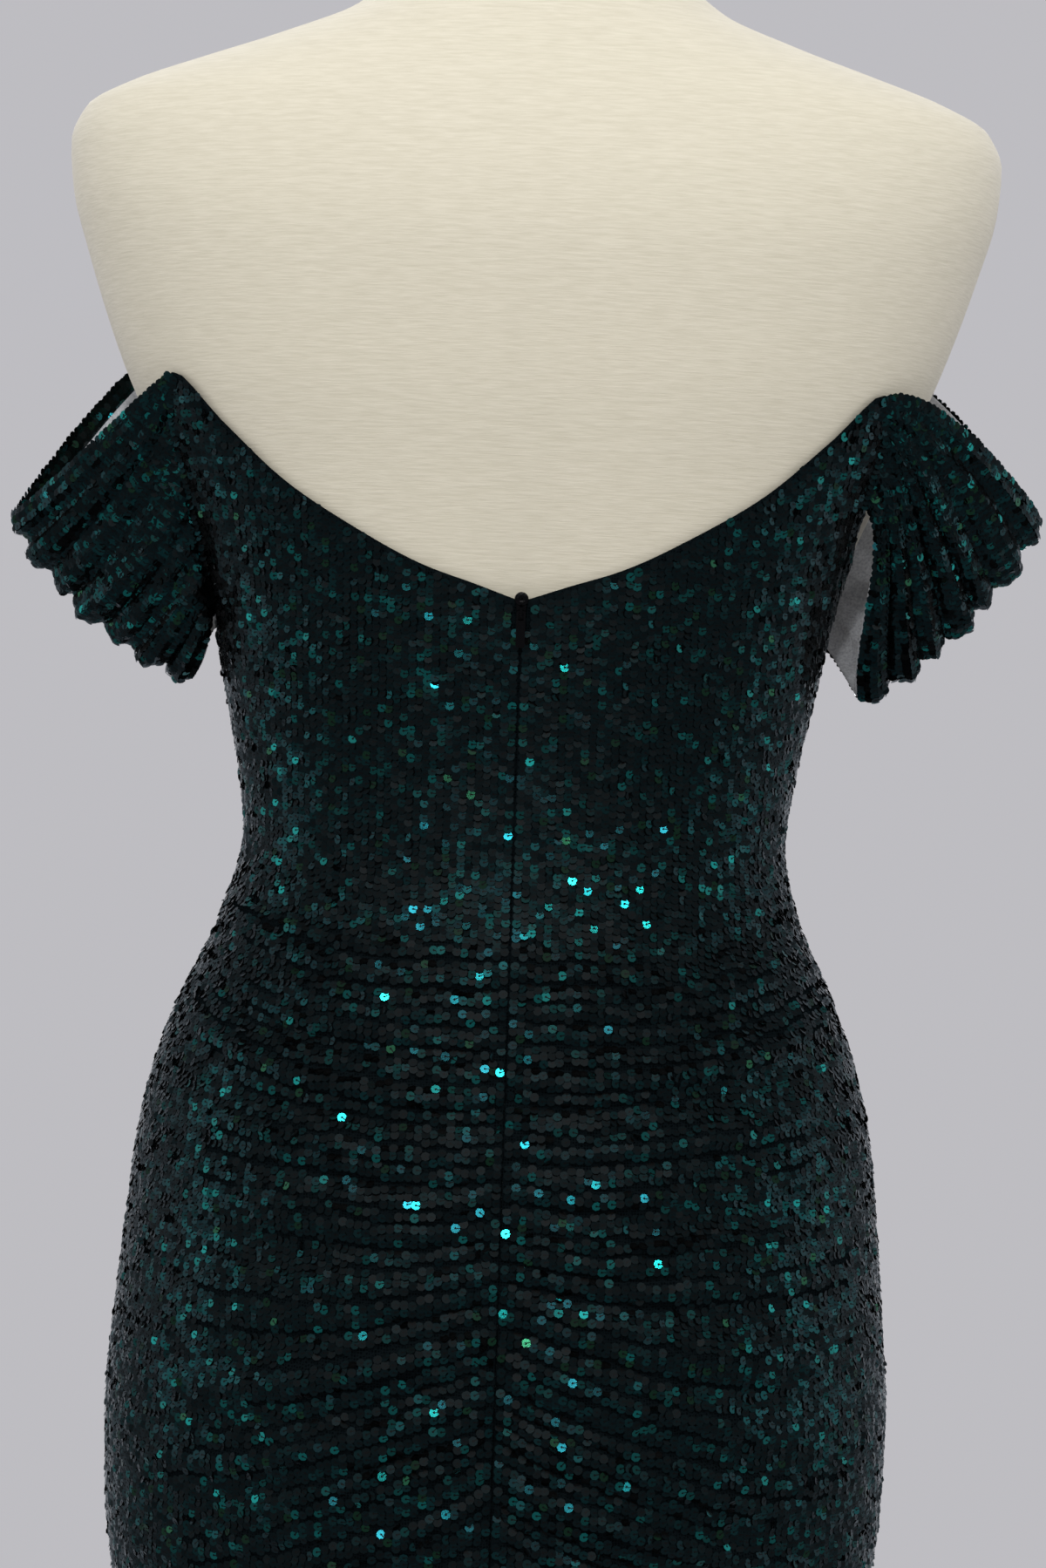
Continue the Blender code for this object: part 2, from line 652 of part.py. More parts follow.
def build_pull():
    """A flat tab that hangs from its top bar, with an eye that the bridge passes through."""
    half_width, half_eye, bar = 0.0019, 0.0011, 0.0004
    eye_end, shoulder, corner = -0.0036, -0.0046, 0.0006
    end = -PULL_LENGTH
    outer = (
        (half_width, 0.0),
        (half_width - bar, bar),
        (bar - half_width, bar),
        (-half_width, 0.0),
        (-half_width, shoulder),
        (-half_width, end + corner),
        (corner - half_width, end),
        (half_width - corner, end),
        (half_width, end + corner),
        (half_width, shoulder),
    )
    eye = (
        (half_eye, -bar - 0.0003),
        (half_eye - 0.0003, -bar),
        (0.0003 - half_eye, -bar),
        (-half_eye, -bar - 0.0003),
        (-half_eye, eye_end + 0.0003),
        (0.0002 - half_eye, eye_end + 0.0001),
        (0.0004 - half_eye, eye_end),
        (half_eye - 0.0004, eye_end),
        (half_eye - 0.0002, eye_end + 0.0001),
        (half_eye, eye_end + 0.0003),
    )
    bm = bmesh.new()
    loops = []
    for outline, y in (
        (outer, PULL_HALF_THICK),
        (eye, PULL_HALF_THICK),
        (eye, -PULL_HALF_THICK),
        (outer, -PULL_HALF_THICK),
    ):
        loops.append([bm.verts.new((x, y, z)) for x, z in outline])
    for k, loop in enumerate(loops):
        before = loops[k - 1]
        for j in range(len(loop)):
            bm.faces.new((before[j - 1], before[j], loop[j], loop[j - 1]))
    pull = finished("zip_pull", bm, "black_enamel")
    pull.location = hinge_point()


# ---------------------------------------------------------------- the part
for leftover in list(bpy.data.objects):
    bpy.data.objects.remove(leftover, do_unlink=True)

build_form()
build_body()
build_sleeves()
build_zip()
build_slider()
build_pull()
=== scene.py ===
"""The looks of an off-shoulder sequinned maxi dress on a limbless dress form.

Metres, +Z up, the floor at z = 0. The back, with the zip and the gathered seam, faces +Y, and
the wearer's left is +X. Angles round the figure run from the centre back through the left.
"""

from math import cos, pi, radians, sin

import bpy
import numpy as np
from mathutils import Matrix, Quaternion, Vector


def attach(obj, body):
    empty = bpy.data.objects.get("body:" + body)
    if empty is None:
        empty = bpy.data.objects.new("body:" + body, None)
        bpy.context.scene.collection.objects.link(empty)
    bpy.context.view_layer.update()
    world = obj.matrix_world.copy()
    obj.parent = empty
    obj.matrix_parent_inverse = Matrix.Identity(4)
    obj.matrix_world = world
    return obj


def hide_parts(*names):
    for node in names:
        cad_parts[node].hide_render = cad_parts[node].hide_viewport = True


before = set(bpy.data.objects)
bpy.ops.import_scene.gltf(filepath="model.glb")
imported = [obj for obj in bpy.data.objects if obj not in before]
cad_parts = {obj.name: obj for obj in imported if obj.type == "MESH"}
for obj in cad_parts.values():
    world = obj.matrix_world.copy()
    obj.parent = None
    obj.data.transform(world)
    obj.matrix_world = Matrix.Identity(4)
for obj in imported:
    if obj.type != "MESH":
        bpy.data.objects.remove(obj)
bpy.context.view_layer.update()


# ---------------------------------------------------------------- the view
# The photograph was taken from 1.3 m behind the dress, a little above the waist and a little
# downwards, with the camera rolled to one side, so that the seam leans.
VIEW_DISTANCE = 1.3
VIEW_TILT = radians(3.8)
VIEW_ROLL = radians(1.9)
VIEW_AIM = Vector((-0.0031, 0, 1.103))
METRES_A_PIXEL = 0.00039       # at the middle of the dress
PHOTO_HEIGHT = 1799
SENSOR = 36

camera = bpy.data.objects.new("camera", bpy.data.cameras.new("camera"))
bpy.context.scene.collection.objects.link(camera)
bpy.context.scene.camera = camera
camera.data.sensor_width = SENSOR
camera.data.lens = SENSOR * VIEW_DISTANCE / (PHOTO_HEIGHT * METRES_A_PIXEL)
camera.data.clip_start = 0.05
camera.location = VIEW_AIM + Vector((0, cos(VIEW_TILT), sin(VIEW_TILT))) * VIEW_DISTANCE
camera.rotation_mode = "QUATERNION"
level = (VIEW_AIM - camera.location).to_track_quat("-Z", "Y")
camera.rotation_quaternion = level @ Quaternion((0, 0, 1), VIEW_ROLL)


# ---------------------------------------------------------------- the studio
# A plain pale floor in a plain pale room, with large soft lamps for the cloth of the form and
# small bright ones, which the sequins that face them throw back as glints.
def linear(hex_colour):
    """An sRGB hex colour as linear red, green, blue and 1."""
    parts = [int(hex_colour[k : k + 2], 16) / 255 for k in (0, 2, 4)]
    return (*(p / 12.92 if p <= 0.04045 else ((p + 0.055) / 1.055) ** 2.4 for p in parts), 1.0)


def fill(tree, node, inputs):
    """Sets a node's inputs, each to a value or linked from a socket."""
    for key, value in dict(inputs).items():
        if isinstance(value, bpy.types.NodeSocket):
            tree.links.new(value, node.inputs[key])
        else:
            node.inputs[key].default_value = value


def add_node(tree, kind, inputs=(), ramp=(), **settings):
    """Adds a shader node with its settings and inputs. A ramp is its stops, each a place and
    a hex colour."""
    made = tree.nodes.new("ShaderNode" + kind)
    for name, value in settings.items():
        setattr(made, name, value)
    for k, (at, colour) in enumerate(ramp):
        stops = made.color_ramp.elements
        stop = stops[k] if k < len(stops) else stops.new(at)
        stop.position, stop.color = at, linear(colour)
    fill(tree, made, inputs)
    return made


def new_finish(name):
    """A new material's node tree and its Principled shader."""
    made = bpy.data.materials.new(name)
    made.use_nodes = True
    return made, made.node_tree, made.node_tree.nodes["Principled BSDF"]


def make_piece(name, points, faces, material, smooth=True):
    """An object from points (n, 3) and a list of arrays of faces, each (m, corners)."""
    corners = np.concatenate([f.ravel() for f in faces]).astype(np.int32)
    sizes = np.concatenate([np.full(len(f), f.shape[1]) for f in faces])
    mesh = bpy.data.meshes.new(name)
    mesh.vertices.add(len(points))
    mesh.vertices.foreach_set("co", np.asarray(points, np.float32).ravel())
    mesh.loops.add(len(corners))
    mesh.loops.foreach_set("vertex_index", corners)
    mesh.polygons.add(len(sizes))
    mesh.polygons.foreach_set("loop_start", np.cumsum(sizes).astype(np.int32) - sizes)
    mesh.update(calc_edges=True)
    if smooth:
        mesh.shade_smooth()
    mesh.materials.append(material)
    made = bpy.data.objects.new(name, mesh)
    bpy.context.scene.collection.objects.link(made)
    return made


def steps_round(count):
    """That many even steps round a circle, in radians."""
    return np.arange(count) * 2 * pi / count


floor_paint, tree, shader = new_finish("matt_floor_paint")   # pale grey, no shine
fill(tree, shader, {"Base Color": linear("C3C2C5"), "Roughness": 0.9})
FLOOR_RADIUS, FLOOR_SIDES = 1.9, 128    # it ends below the photograph's own view
FLOOR_DROP = 0.0005                     # clear of the base's underside
turn = steps_round(FLOOR_SIDES)
floor_edge = np.stack([
    FLOOR_RADIUS * np.cos(turn), FLOOR_RADIUS * np.sin(turn), np.full(FLOOR_SIDES, -FLOOR_DROP)
], axis=-1)
floor = make_piece("floor", floor_edge, [np.arange(FLOOR_SIDES)[None, :]], floor_paint)

room = bpy.data.worlds.new("pale_room")
room.use_nodes = True
light = room.node_tree.nodes["Background"]
fill(room.node_tree, light, {"Color": linear("D4D3D8"), "Strength": 0.78})
bpy.context.scene.world = room
bpy.context.scene.view_settings.view_transform = "Standard"

LAMPS_AIM = Vector((0, 0, 1.05))
LAMPS = (
    # name              place                 side   watts
    ("ceiling_front", (0.3, -1.7, 3.8), 2.0, 10.0),
    ("window_left", (3.2, 0.2, 1.7), 1.6, 18.0),
    ("window_right", (-3.2, 0.0, 1.6), 1.6, 17.0),
    ("halo", (0.3, 2.8, 1.95), 0.70, 3.6),
    ("halo_front", (-0.2, -2.8, 2.00), 0.70, 7.0),
    ("glow_high", (-0.2, 1.5, 3.30), 0.34, 4.5),
    ("spark_top", (-0.3, 1.4, 3.60), 0.13, 15.0),
    ("spark_high", (0.5, 1.7, 3.25), 0.13, 14.0),
    ("spark_fold", (0.1, 2.2, 2.45), 0.11, 9.0),
    ("spark_middle", (-0.6, 2.6, 2.20), 0.09, 5.0),
    ("spark_low", (0.6, 2.7, 1.65), 0.07, 3.5),
    ("spark_left", (1.2, 1.8, 2.90), 0.11, 8.0),
    ("spark_right", (-1.2, 1.8, 2.80), 0.11, 8.0),
    ("spark_front", (0.4, -2.4, 3.10), 0.12, 13.0),
    ("spark_front_low", (-0.4, -2.8, 1.90), 0.10, 8.0),
)
for name, place, side, watts in LAMPS:
    lamp = bpy.data.objects.new(name, bpy.data.lights.new(name, "AREA"))
    lamp.data.size = side
    lamp.data.energy = watts
    lamp.location = place
    lamp.rotation_euler = (LAMPS_AIM - lamp.location).to_track_quat("-Z", "Y").to_euler()
    bpy.context.scene.collection.objects.link(lamp)


# ---------------------------------------------------------------- the form's torso
# A padded shell from the neck to mid thigh, without arms or head, covered in cream jersey
# that is stretched over it and has a fine level slub.
FORM_BOTTOM = 0.700
NECK_TOP = 1.530
# Level sections of the figure: height, half width, depth behind and in front of the axis,
# and the power of the superellipse (2 is an ellipse, more is squarer).
FIGURE = (
    # z      half_w  back    front   power
    (0.024, 0.2520, 0.2640, 0.2300, 2.00),
    (0.120, 0.2160, 0.2200, 0.1960, 2.00),
    (0.250, 0.1770, 0.1700, 0.1580, 2.00),
    (0.380, 0.1530, 0.1380, 0.1310, 2.05),
    (0.500, 0.1470, 0.1230, 0.1170, 2.10),
    (0.600, 0.1510, 0.1190, 0.1120, 2.15),
    (0.680, 0.1600, 0.1190, 0.1090, 2.20),
    (0.744, 0.1675, 0.1215, 0.1080, 2.20),
    (0.784, 0.1717, 0.1255, 0.1080, 2.20),
    (0.824, 0.1725, 0.1285, 0.1080, 2.20),
    (0.864, 0.1697, 0.1290, 0.1070, 2.15),
    (0.904, 0.1658, 0.1245, 0.1050, 2.10),
    (0.944, 0.1614, 0.1160, 0.1020, 2.10),
    (0.984, 0.1520, 0.1050, 0.0980, 2.10),
    (1.024, 0.1347, 0.0950, 0.0930, 2.10),
    (1.044, 0.1259, 0.0900, 0.0915, 2.10),
    (1.080, 0.1178, 0.0845, 0.0910, 2.10),
    (1.104, 0.1205, 0.0850, 0.0930, 2.10),
    (1.144, 0.1280, 0.0895, 0.0990, 2.15),
    (1.188, 0.1375, 0.0960, 0.1080, 2.20),
    (1.230, 0.1540, 0.1030, 0.1130, 2.25),
    (1.284, 0.1790, 0.1110, 0.1110, 2.30),
    (1.334, 0.1960, 0.1140, 0.1010, 2.30),
    (1.358, 0.2024, 0.1110, 0.0910, 2.30),
    (1.378, 0.2040, 0.1050, 0.0820, 2.30),
    (1.393, 0.1980, 0.0985, 0.0750, 2.30),
    (1.403, 0.1810, 0.0930, 0.0700, 2.25),
    (1.413, 0.1540, 0.0870, 0.0650, 2.20),
    (1.425, 0.1200, 0.0790, 0.0600, 2.10),
    (1.440, 0.0835, 0.0690, 0.0550, 2.05),
    (1.457, 0.0650, 0.0615, 0.0520, 2.00),
    (1.480, 0.0580, 0.0570, 0.0510, 2.00),
    (1.530, 0.0560, 0.0550, 0.0530, 2.00),
)
BUST = dict(apart=0.084, width=0.056, height=1.222, tall=0.066, depth=0.031)
BUST_BRIDGED = 0.55    # the share of the hollow between the breasts that the cloth spans
BUST_EASE = 0.0018
SEAT_VALLEY = dict(width=0.030, height=0.870, tall=0.090, depth=0.006)
SPINE_VALLEY = dict(width=0.016, height=1.120, tall=0.130, depth=0.0040)


def through(table, column, at):
    """A smooth curve through a table's first column and the given one: on each stretch a
    cubic whose end slopes are the harmonic means of the slopes beside them."""
    k = np.array([row[0] for row in table], float)
    v = np.array([row[column] for row in table], float)
    at = np.clip(at, k[0], k[-1])
    steps = np.diff(v) / np.diff(k)
    same_way = steps[:-1] * steps[1:] > 0
    total = np.where(same_way, steps[:-1] + steps[1:], 1.0)
    inner = np.where(same_way, 2 * steps[:-1] * steps[1:] / total, 0.0)
    slopes = np.concatenate([steps[:1], inner, steps[-1:]])
    i = np.clip(np.searchsorted(k, at, side="right") - 1, 0, len(k) - 2)
    width = k[i + 1] - k[i]
    t = (at - k[i]) / width
    rise = t * t * (3 - 2 * t)
    lift = width * t * (1 - t) * (slopes[i] * (1 - t) - slopes[i + 1] * t)
    return v[i] * (1 - rise) + v[i + 1] * rise + lift


def smooth_step(x):
    """3 x squared less 2 x cubed, from 0 at 0 to 1 at 1."""
    x = np.clip(x, 0.0, 1.0)
    return x * x * (3 - 2 * x)


def bell(x):
    """e to the power of minus x squared."""
    return np.exp(-x * x)


def figure(theta, z, cloth=False):
    """The superellipse of the section at height z: x is the half width times the sine's
    power 2/p, y the depth times the cosine's, plus the bust's two bells and less the valleys
    of the spine and the seat. The cloth bridges the spine, and part of the bust's hollow."""
    theta, z = np.broadcast_arrays(np.asarray(theta, float), np.asarray(z, float))
    half_w, back, front, power = (through(FIGURE, column, z) for column in (1, 2, 3, 4))
    s, c = np.sin(theta), np.cos(theta)
    x = half_w * np.sign(s) * np.abs(s) ** (2 / power)
    y = np.where(c > 0, back, -front) * np.abs(c) ** (2 / power)
    lobe = bell((np.abs(x) - BUST["apart"]) / BUST["width"])
    spanned = BUST_BRIDGED if cloth else 0.0
    lobe = np.where(np.abs(x) < BUST["apart"], lobe + spanned * (1 - lobe), lobe)
    lobe = lobe * bell((z - BUST["height"]) / BUST["tall"])
    y = y - (BUST["depth"] + (BUST_EASE if cloth else 0)) * lobe * smooth_step(-2 * c)
    for valley, is_spanned in ((SEAT_VALLEY, False), (SPINE_VALLEY, cloth)):
        dip = bell(x / valley["width"]) * bell((z - valley["height"]) / valley["tall"])
        y = y - (0 if is_spanned else valley["depth"]) * dip * smooth_step(2 * c)
    return np.stack([x, y, z], axis=-1)


def squares(rows, columns, closed=False, first=0):
    """The faces of a grid of points, row by row. A closed grid joins its last column to its
    first."""
    r, c = np.meshgrid(np.arange(rows - 1), np.arange(columns - (not closed)), indexing="ij")
    here, beside = r * columns + c, r * columns + (c + 1) % columns
    square = np.stack([here, here + columns, beside + columns, beside], axis=-1)
    return square.reshape(-1, 4) + first


def turned_shell(name, rings, material):
    """A closed skin through level rings, from the lowest to the highest, with flat ends."""
    rows, columns = rings.shape[:2]
    side = squares(rows, columns, closed=True)[:, ::-1]
    ends = [np.arange(columns)[None, ::-1], (rows - 1) * columns + np.arange(columns)[None]]
    return make_piece(name, rings.reshape(-1, 3), [side, *ends], material)


def object_place(tree, *steps):
    """Object coordinates, in metres or in steps of so many mm along X, Y and Z."""
    place = add_node(tree, "TexCoord").outputs["Object"]
    if not steps:
        return place
    scale = [1000 / step for step in steps]
    return add_node(tree, "Mapping", {"Vector": place, "Scale": scale}).outputs[0]


def relief(tree, height, distance, strength, **settings):
    """The normal of a surface that stands out by a pattern's height times a distance."""
    inputs = {"Height": height, "Distance": distance, "Strength": strength}
    return add_node(tree, "Bump", inputs, **settings).outputs["Normal"]


# Cotton jersey, a knit stretched smooth. Matt, with a soft pale edge, and a slub that runs
# level as slightly thicker and paler yarns. The stitches, 0.7 mm, are too fine to show.
jersey, tree, shader = new_finish("cream_cotton_jersey")
SLUB_LONG, SLUB_TALL = 11.0, 0.9       # mm
slub = add_node(
    tree, "TexNoise",
    {
        "Vector": object_place(tree, SLUB_LONG, SLUB_LONG, SLUB_TALL),
        "Scale": 1.0, "Detail": 3.0, "Roughness": 0.6,
    },
)
pale = add_node(
    tree, "ValToRGB", {"Fac": slub.outputs["Fac"]},
    ramp=((0.30, "B9B3A0"), (0.72, "C5BFAD")),
)
fill(tree, shader, {
    "Base Color": pale.outputs["Color"],
    "Normal": relief(tree, slub.outputs["Fac"], distance=0.0004, strength=0.35),
    "Roughness": 0.88,
    "Sheen Weight": 0.25,
    "Specular IOR Level": 0.25,
})

TORSO_ROUND, TORSO_ROWS, SHOULDER_ROWS = 144, 90, 58
SHOULDER_Z, SHOULDER_STEP = 1.380, 0.004       # from here up the rows are closer
# The lower edge is drawn in: each row's height over the bottom, and its share of the figure.
LOWER_EDGE = ((0.000, 0.955), (0.003, 0.985), (0.010, 1.0))
turn = steps_round(TORSO_ROUND)
heights = np.concatenate([
    [FORM_BOTTOM + rise for rise, share in LOWER_EDGE[:-1]],
    np.linspace(FORM_BOTTOM + LOWER_EDGE[-1][0], SHOULDER_Z, TORSO_ROWS),
    np.linspace(SHOULDER_Z + SHOULDER_STEP, NECK_TOP, SHOULDER_ROWS),
])
rings = figure(turn[None, :], np.repeat(heights[:, None], TORSO_ROUND, axis=1))
for row, (rise, share) in enumerate(LOWER_EDGE):
    rings[row, :, :2] *= share
torso = turned_shell("torso", rings, jersey)
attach(torso, "root")
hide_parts("form_torso")


# ---------------------------------------------------------------- the form's stand
# A turned and oiled beech plate closes the neck. A satin steel pole with a collar carries the
# torso on a round steel plate with a softly broken edge.
STAND_SIDES = 96
QUARTER = np.radians(np.arange(0, 91, 15))
SHARP_BEND = radians(50)       # from here up an edge isn't smoothed over


def turned(name, profile, material, y=0.0):
    """A turned piece: each (radius, height) step of the profile carried round a circle."""
    round_axis = steps_round(STAND_SIDES)
    radius, height = np.array(profile).T
    ring = np.stack([
        radius[:, None] * np.cos(round_axis),
        y + radius[:, None] * np.sin(round_axis),
        np.repeat(height[:, None], STAND_SIDES, axis=1),
    ], axis=-1)
    made = turned_shell(name, ring, material)
    made.data.set_sharp_from_angle(angle=SHARP_BEND)
    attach(made, "root")
    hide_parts(name.replace("stand_", "form_"))
    return made


def upper_rim(radius, high, bend):
    """A quarter round of the given bend, from a disc's side up to its top."""
    return [(radius - bend + bend * cos(a), high - bend + bend * sin(a)) for a in QUARTER]


def rounded(radius, low, high, bend):
    """The profile of a disc with a quarter round at each rim."""
    below = [(radius - bend + bend * sin(a), low + bend - bend * cos(a)) for a in QUARTER]
    return below + upper_rim(radius, high, bend)


# Oiled beech: warm brown, the grain in fine long streaks across the plate, a low gloss.
beech, tree, shader = new_finish("oiled_beech")
GRAIN_LONG, GRAIN_WIDE = 60.0, 1.6     # mm
grain_place = object_place(tree, GRAIN_LONG, GRAIN_WIDE, GRAIN_WIDE)
grain = add_node(tree, "TexNoise", {"Vector": grain_place, "Scale": 1.0, "Detail": 4.0})
tone = add_node(
    tree, "ValToRGB", {"Fac": grain.outputs["Fac"]}, ramp=((0.3, "7A5232"), (0.7, "A67A50"))
)
fill(tree, shader, {"Base Color": tone.outputs["Color"], "Roughness": 0.42})

# Satin steel: bright, unevenly smeared, with faint turning marks round its axis.
steel, tree, shader = new_finish("satin_turned_steel")
place = object_place(tree)
TURNING_MARK = 7.54                    # mm, far apart so that they show
WAVE = 1000 * 2 * pi / 20              # mm, a Wave texture's step at scale 1
marks = add_node(
    tree, "TexWave", {"Vector": place, "Scale": WAVE / TURNING_MARK, "Distortion": 0.4},
    wave_type="RINGS", rings_direction="Z",
)
smear = add_node(tree, "TexNoise", {"Vector": place, "Scale": 30.0, "Detail": 3.0})
rough = add_node(tree, "MapRange", {"Value": smear.outputs["Fac"], "To Min": 0.24, "To Max": 0.42})
fill(tree, shader, {
    "Base Color": linear("B9BABD"),
    "Metallic": 1.0,
    "Roughness": rough.outputs[0],
    "Normal": relief(tree, marks.outputs["Fac"], distance=0.00003, strength=0.4),
})

GAP = 0.0003           # between pieces that are screwed together
PLATE_RADIUS, PLATE_THICK = 0.052, 0.010
POLE_RADIUS, BASE_RADIUS, BASE_THICK = 0.0125, 0.165, 0.010
COLLAR_RADIUS, COLLAR_TALL, COLLAR_BEND = 0.026, 0.045, 0.006
PLATE_BEND, PLATE_Y, BASE_BEND = 0.003, 0.001, 0.0025
plate_foot = NECK_TOP + GAP
turned(
    "stand_neck_plate", rounded(PLATE_RADIUS, plate_foot, plate_foot + PLATE_THICK, PLATE_BEND),
    beech, y=PLATE_Y,
)
turned("stand_base", rounded(BASE_RADIUS, 0.0, BASE_THICK, BASE_BEND), steel)
collar_foot = BASE_THICK + GAP
collar_top = collar_foot + COLLAR_TALL
turned(
    "stand_collar",
    [(COLLAR_RADIUS, collar_foot), *upper_rim(COLLAR_RADIUS, collar_top, COLLAR_BEND)],
    steel,
)
turned(
    "stand_pole",
    [(POLE_RADIUS, collar_top + GAP), (POLE_RADIUS, FORM_BOTTOM - GAP)], steel,
)


# ---------------------------------------------------------------- the panels of the dress
# Two back panels and a front panel of dark knitted net with a stretch backing, each cut in
# one from the neckline to the hem. They are sewn at the sides and down the centre back, and
# below the waist that seam is drawn up, so the cloth runs out from it in long soft folds.
SEAM_GAP, SEAM_REACH = 0.00004, 0.010     # between the back panels, and how far out it is felt
EASE = 0.0013          # between the form and the inside of the cloth
CLOTH = 0.0012
HEM_Z = 0.024
TOP_EDGE = (
    # degrees  z
    (0.0, 1.1850),
    (6.0, 1.1910),
    (15.0, 1.1990),
    (27.0, 1.2150),
    (38.0, 1.2330),
    (47.0, 1.2555),
    (55.0, 1.2760),
    (80.0, 1.1710),
    (92.0, 1.1580),
    (100.0, 1.1650),
    (122.0, 1.3010),
    (136.0, 1.2860),
    (152.0, 1.2660),
    (168.0, 1.2460),
    (180.0, 1.2370),
)
# Beside the right sleeve's slit the cloth stands off the form, so its edge runs higher.
SLIT_RISE, SLIT_DEGREES, SLIT_HALF = 0.026, -77, 6.0
# For a fold that leaves the back seam at this height, how far it has dropped 5 cm and 12 cm
# out to the side.
DROP_NEAR, DROP_FAR = 0.05, 0.12
FOLD_LINES = (
    # z      drop_5   drop_12
    (0.770, 0.0240, 0.0480),
    (0.842, 0.0220, 0.0470),
    (0.865, 0.0190, 0.0400),
    (0.887, 0.0150, 0.0330),
    (0.900, 0.0110, 0.0220),
    (0.909, 0.0060, 0.0090),
    (0.932, 0.0020, 0.0010),
    (0.962, 0.0010, -0.0080),
    (0.987, 0.0020, -0.0130),
    (1.028, 0.0010, -0.0120),
    (1.050, -0.0010, -0.0100),
)
# The largest folds: height at the seam, how far the ridge stands out, half width, reach.
FOLDS = {
    "left": (
        # z      depth   width   reach
        (1.0134, 0.0030, 0.0085, 0.135),
        (0.9826, 0.0036, 0.0080, 0.150),
        (0.9577, 0.0040, 0.0080, 0.160),
        (0.9335, 0.0040, 0.0078, 0.150),
        (0.9080, 0.0042, 0.0080, 0.150),
        (0.8850, 0.0044, 0.0080, 0.145),
        (0.8620, 0.0046, 0.0080, 0.140),
        (0.8400, 0.0044, 0.0080, 0.130),
        (0.8150, 0.0040, 0.0085, 0.115),
        (0.7880, 0.0034, 0.0090, 0.100),
    ),
    "right": (
        (1.0190, 0.0030, 0.0080, 0.140),
        (0.9900, 0.0040, 0.0085, 0.160),
        (0.9640, 0.0038, 0.0080, 0.150),
        (0.9435, 0.0036, 0.0078, 0.145),
        (0.9200, 0.0042, 0.0080, 0.155),
        (0.8980, 0.0044, 0.0078, 0.150),
        (0.8765, 0.0046, 0.0080, 0.145),
        (0.8530, 0.0044, 0.0080, 0.135),
        (0.8280, 0.0042, 0.0085, 0.120),
        (0.7990, 0.0036, 0.0090, 0.105),
    ),
}
# Over them run finer folds, one about every 8 mm of the seam and none like the next: soft
# rounded arches with a narrow dark valley between each and the next.
FINE_TOP, FINE_END, FINE_STEP = 1.047, 0.770, 0.0080
FINE_WANDER = 0.0026
FINE_DEPTH = (0.0018, 0.0034)
FINE_REACH = (0.080, 0.185)
FINE_SEED = {"left": 11, "right": 23}
FINE_WAVE = dict(rise=0.0010, length=0.017, turn=40, start=0.03)
FINE_FADE = dict(low=0.012, high=0.016, reach=0.6, seam=0.008, at_seam=0.35)
FINE_POWER = 0.6
GATHERED = (0.66, 1.10)       # the heights that the folds reach
# How far below and above a point its fold can leave the seam, and how often that is halved.
START_BELOW, START_ABOVE, HALVINGS = 0.03, 0.11, 16
# The large folds: the share of their reach over which they fade, and how they rise from the
# seam, where the gathering stitch holds them to a part of their depth.
FOLD_SHARE, FOLD_FADE, FOLD_RISE, FOLD_AT_SEAM = 0.75, 0.45, 0.022, 0.3
# The flutes that open towards the hem.
FLUTES = (
    # degrees  half   depth
    (4, 15, 0.024),
    (41, 14, 0.018),
    (78, 15, 0.022),
    (117, 16, 0.017),
    (158, 17, 0.021),
    (201, 16, 0.018),
    (243, 15, 0.021),
    (284, 16, 0.017),
    (322, 15, 0.023),
)
FLUTE_TOP, FLUTE_POWER = 0.460, 1.5


def fold_line(start, across):
    """The height of a fold: start less a straight and a curved share of the way across."""
    slope_near = through(FOLD_LINES, 1, start) / DROP_NEAR
    slope_far = through(FOLD_LINES, 2, start) / DROP_FAR
    curl = (slope_far - slope_near) / (DROP_FAR - DROP_NEAR)
    return start - across * (slope_near + curl * (across - DROP_NEAR))


def fine_valleys(side):
    """The valleys' heights at the seam, rising, and each arch's depth and reach above them."""
    draw = np.random.default_rng(FINE_SEED[side])
    valleys = np.arange(FINE_END, FINE_TOP, FINE_STEP)
    valleys = valleys + draw.uniform(-FINE_WANDER, FINE_WANDER, len(valleys))
    depths = draw.uniform(*FINE_DEPTH, len(valleys))
    return valleys, depths, draw.uniform(*FINE_REACH, len(valleys))


def seam_height(across, z):
    """Where the fold line through a point leaves the seam: fold_line solved for its start by
    halving the stretch that holds it."""
    low, high = z - START_BELOW, z + START_ABOVE
    for _ in range(HALVINGS):
        middle = (low + high) / 2
        under = fold_line(middle, across) < z
        low, high = np.where(under, middle, low), np.where(under, high, middle)
    return (low + high) / 2


def fine_folds(side, across, z):
    """Each point's place between two valleys, from 0 to 1, and its arch's height there."""
    valleys, depths, reaches = fine_valleys(side)
    wave = FINE_WAVE["rise"] * np.sin(across / FINE_WAVE["length"] + FINE_WAVE["turn"] * z)
    start = seam_height(across, z + wave * smooth_step(across / FINE_WAVE["start"]))
    k = np.clip(np.searchsorted(valleys, start) - 1, 0, len(valleys) - 2)
    place = np.clip((start - valleys[k]) / (valleys[k + 1] - valleys[k]), 0, 1)
    ends = smooth_step((start - FINE_END) / FINE_FADE["low"])
    ends = ends * smooth_step((FINE_TOP - start) / FINE_FADE["high"])
    fade = smooth_step((reaches[k] - across) / (FINE_FADE["reach"] * reaches[k]))
    held = FINE_FADE["at_seam"]
    pinched = held + (1 - held) * smooth_step(across / FINE_FADE["seam"])
    return place, depths[k] * fade * ends * pinched


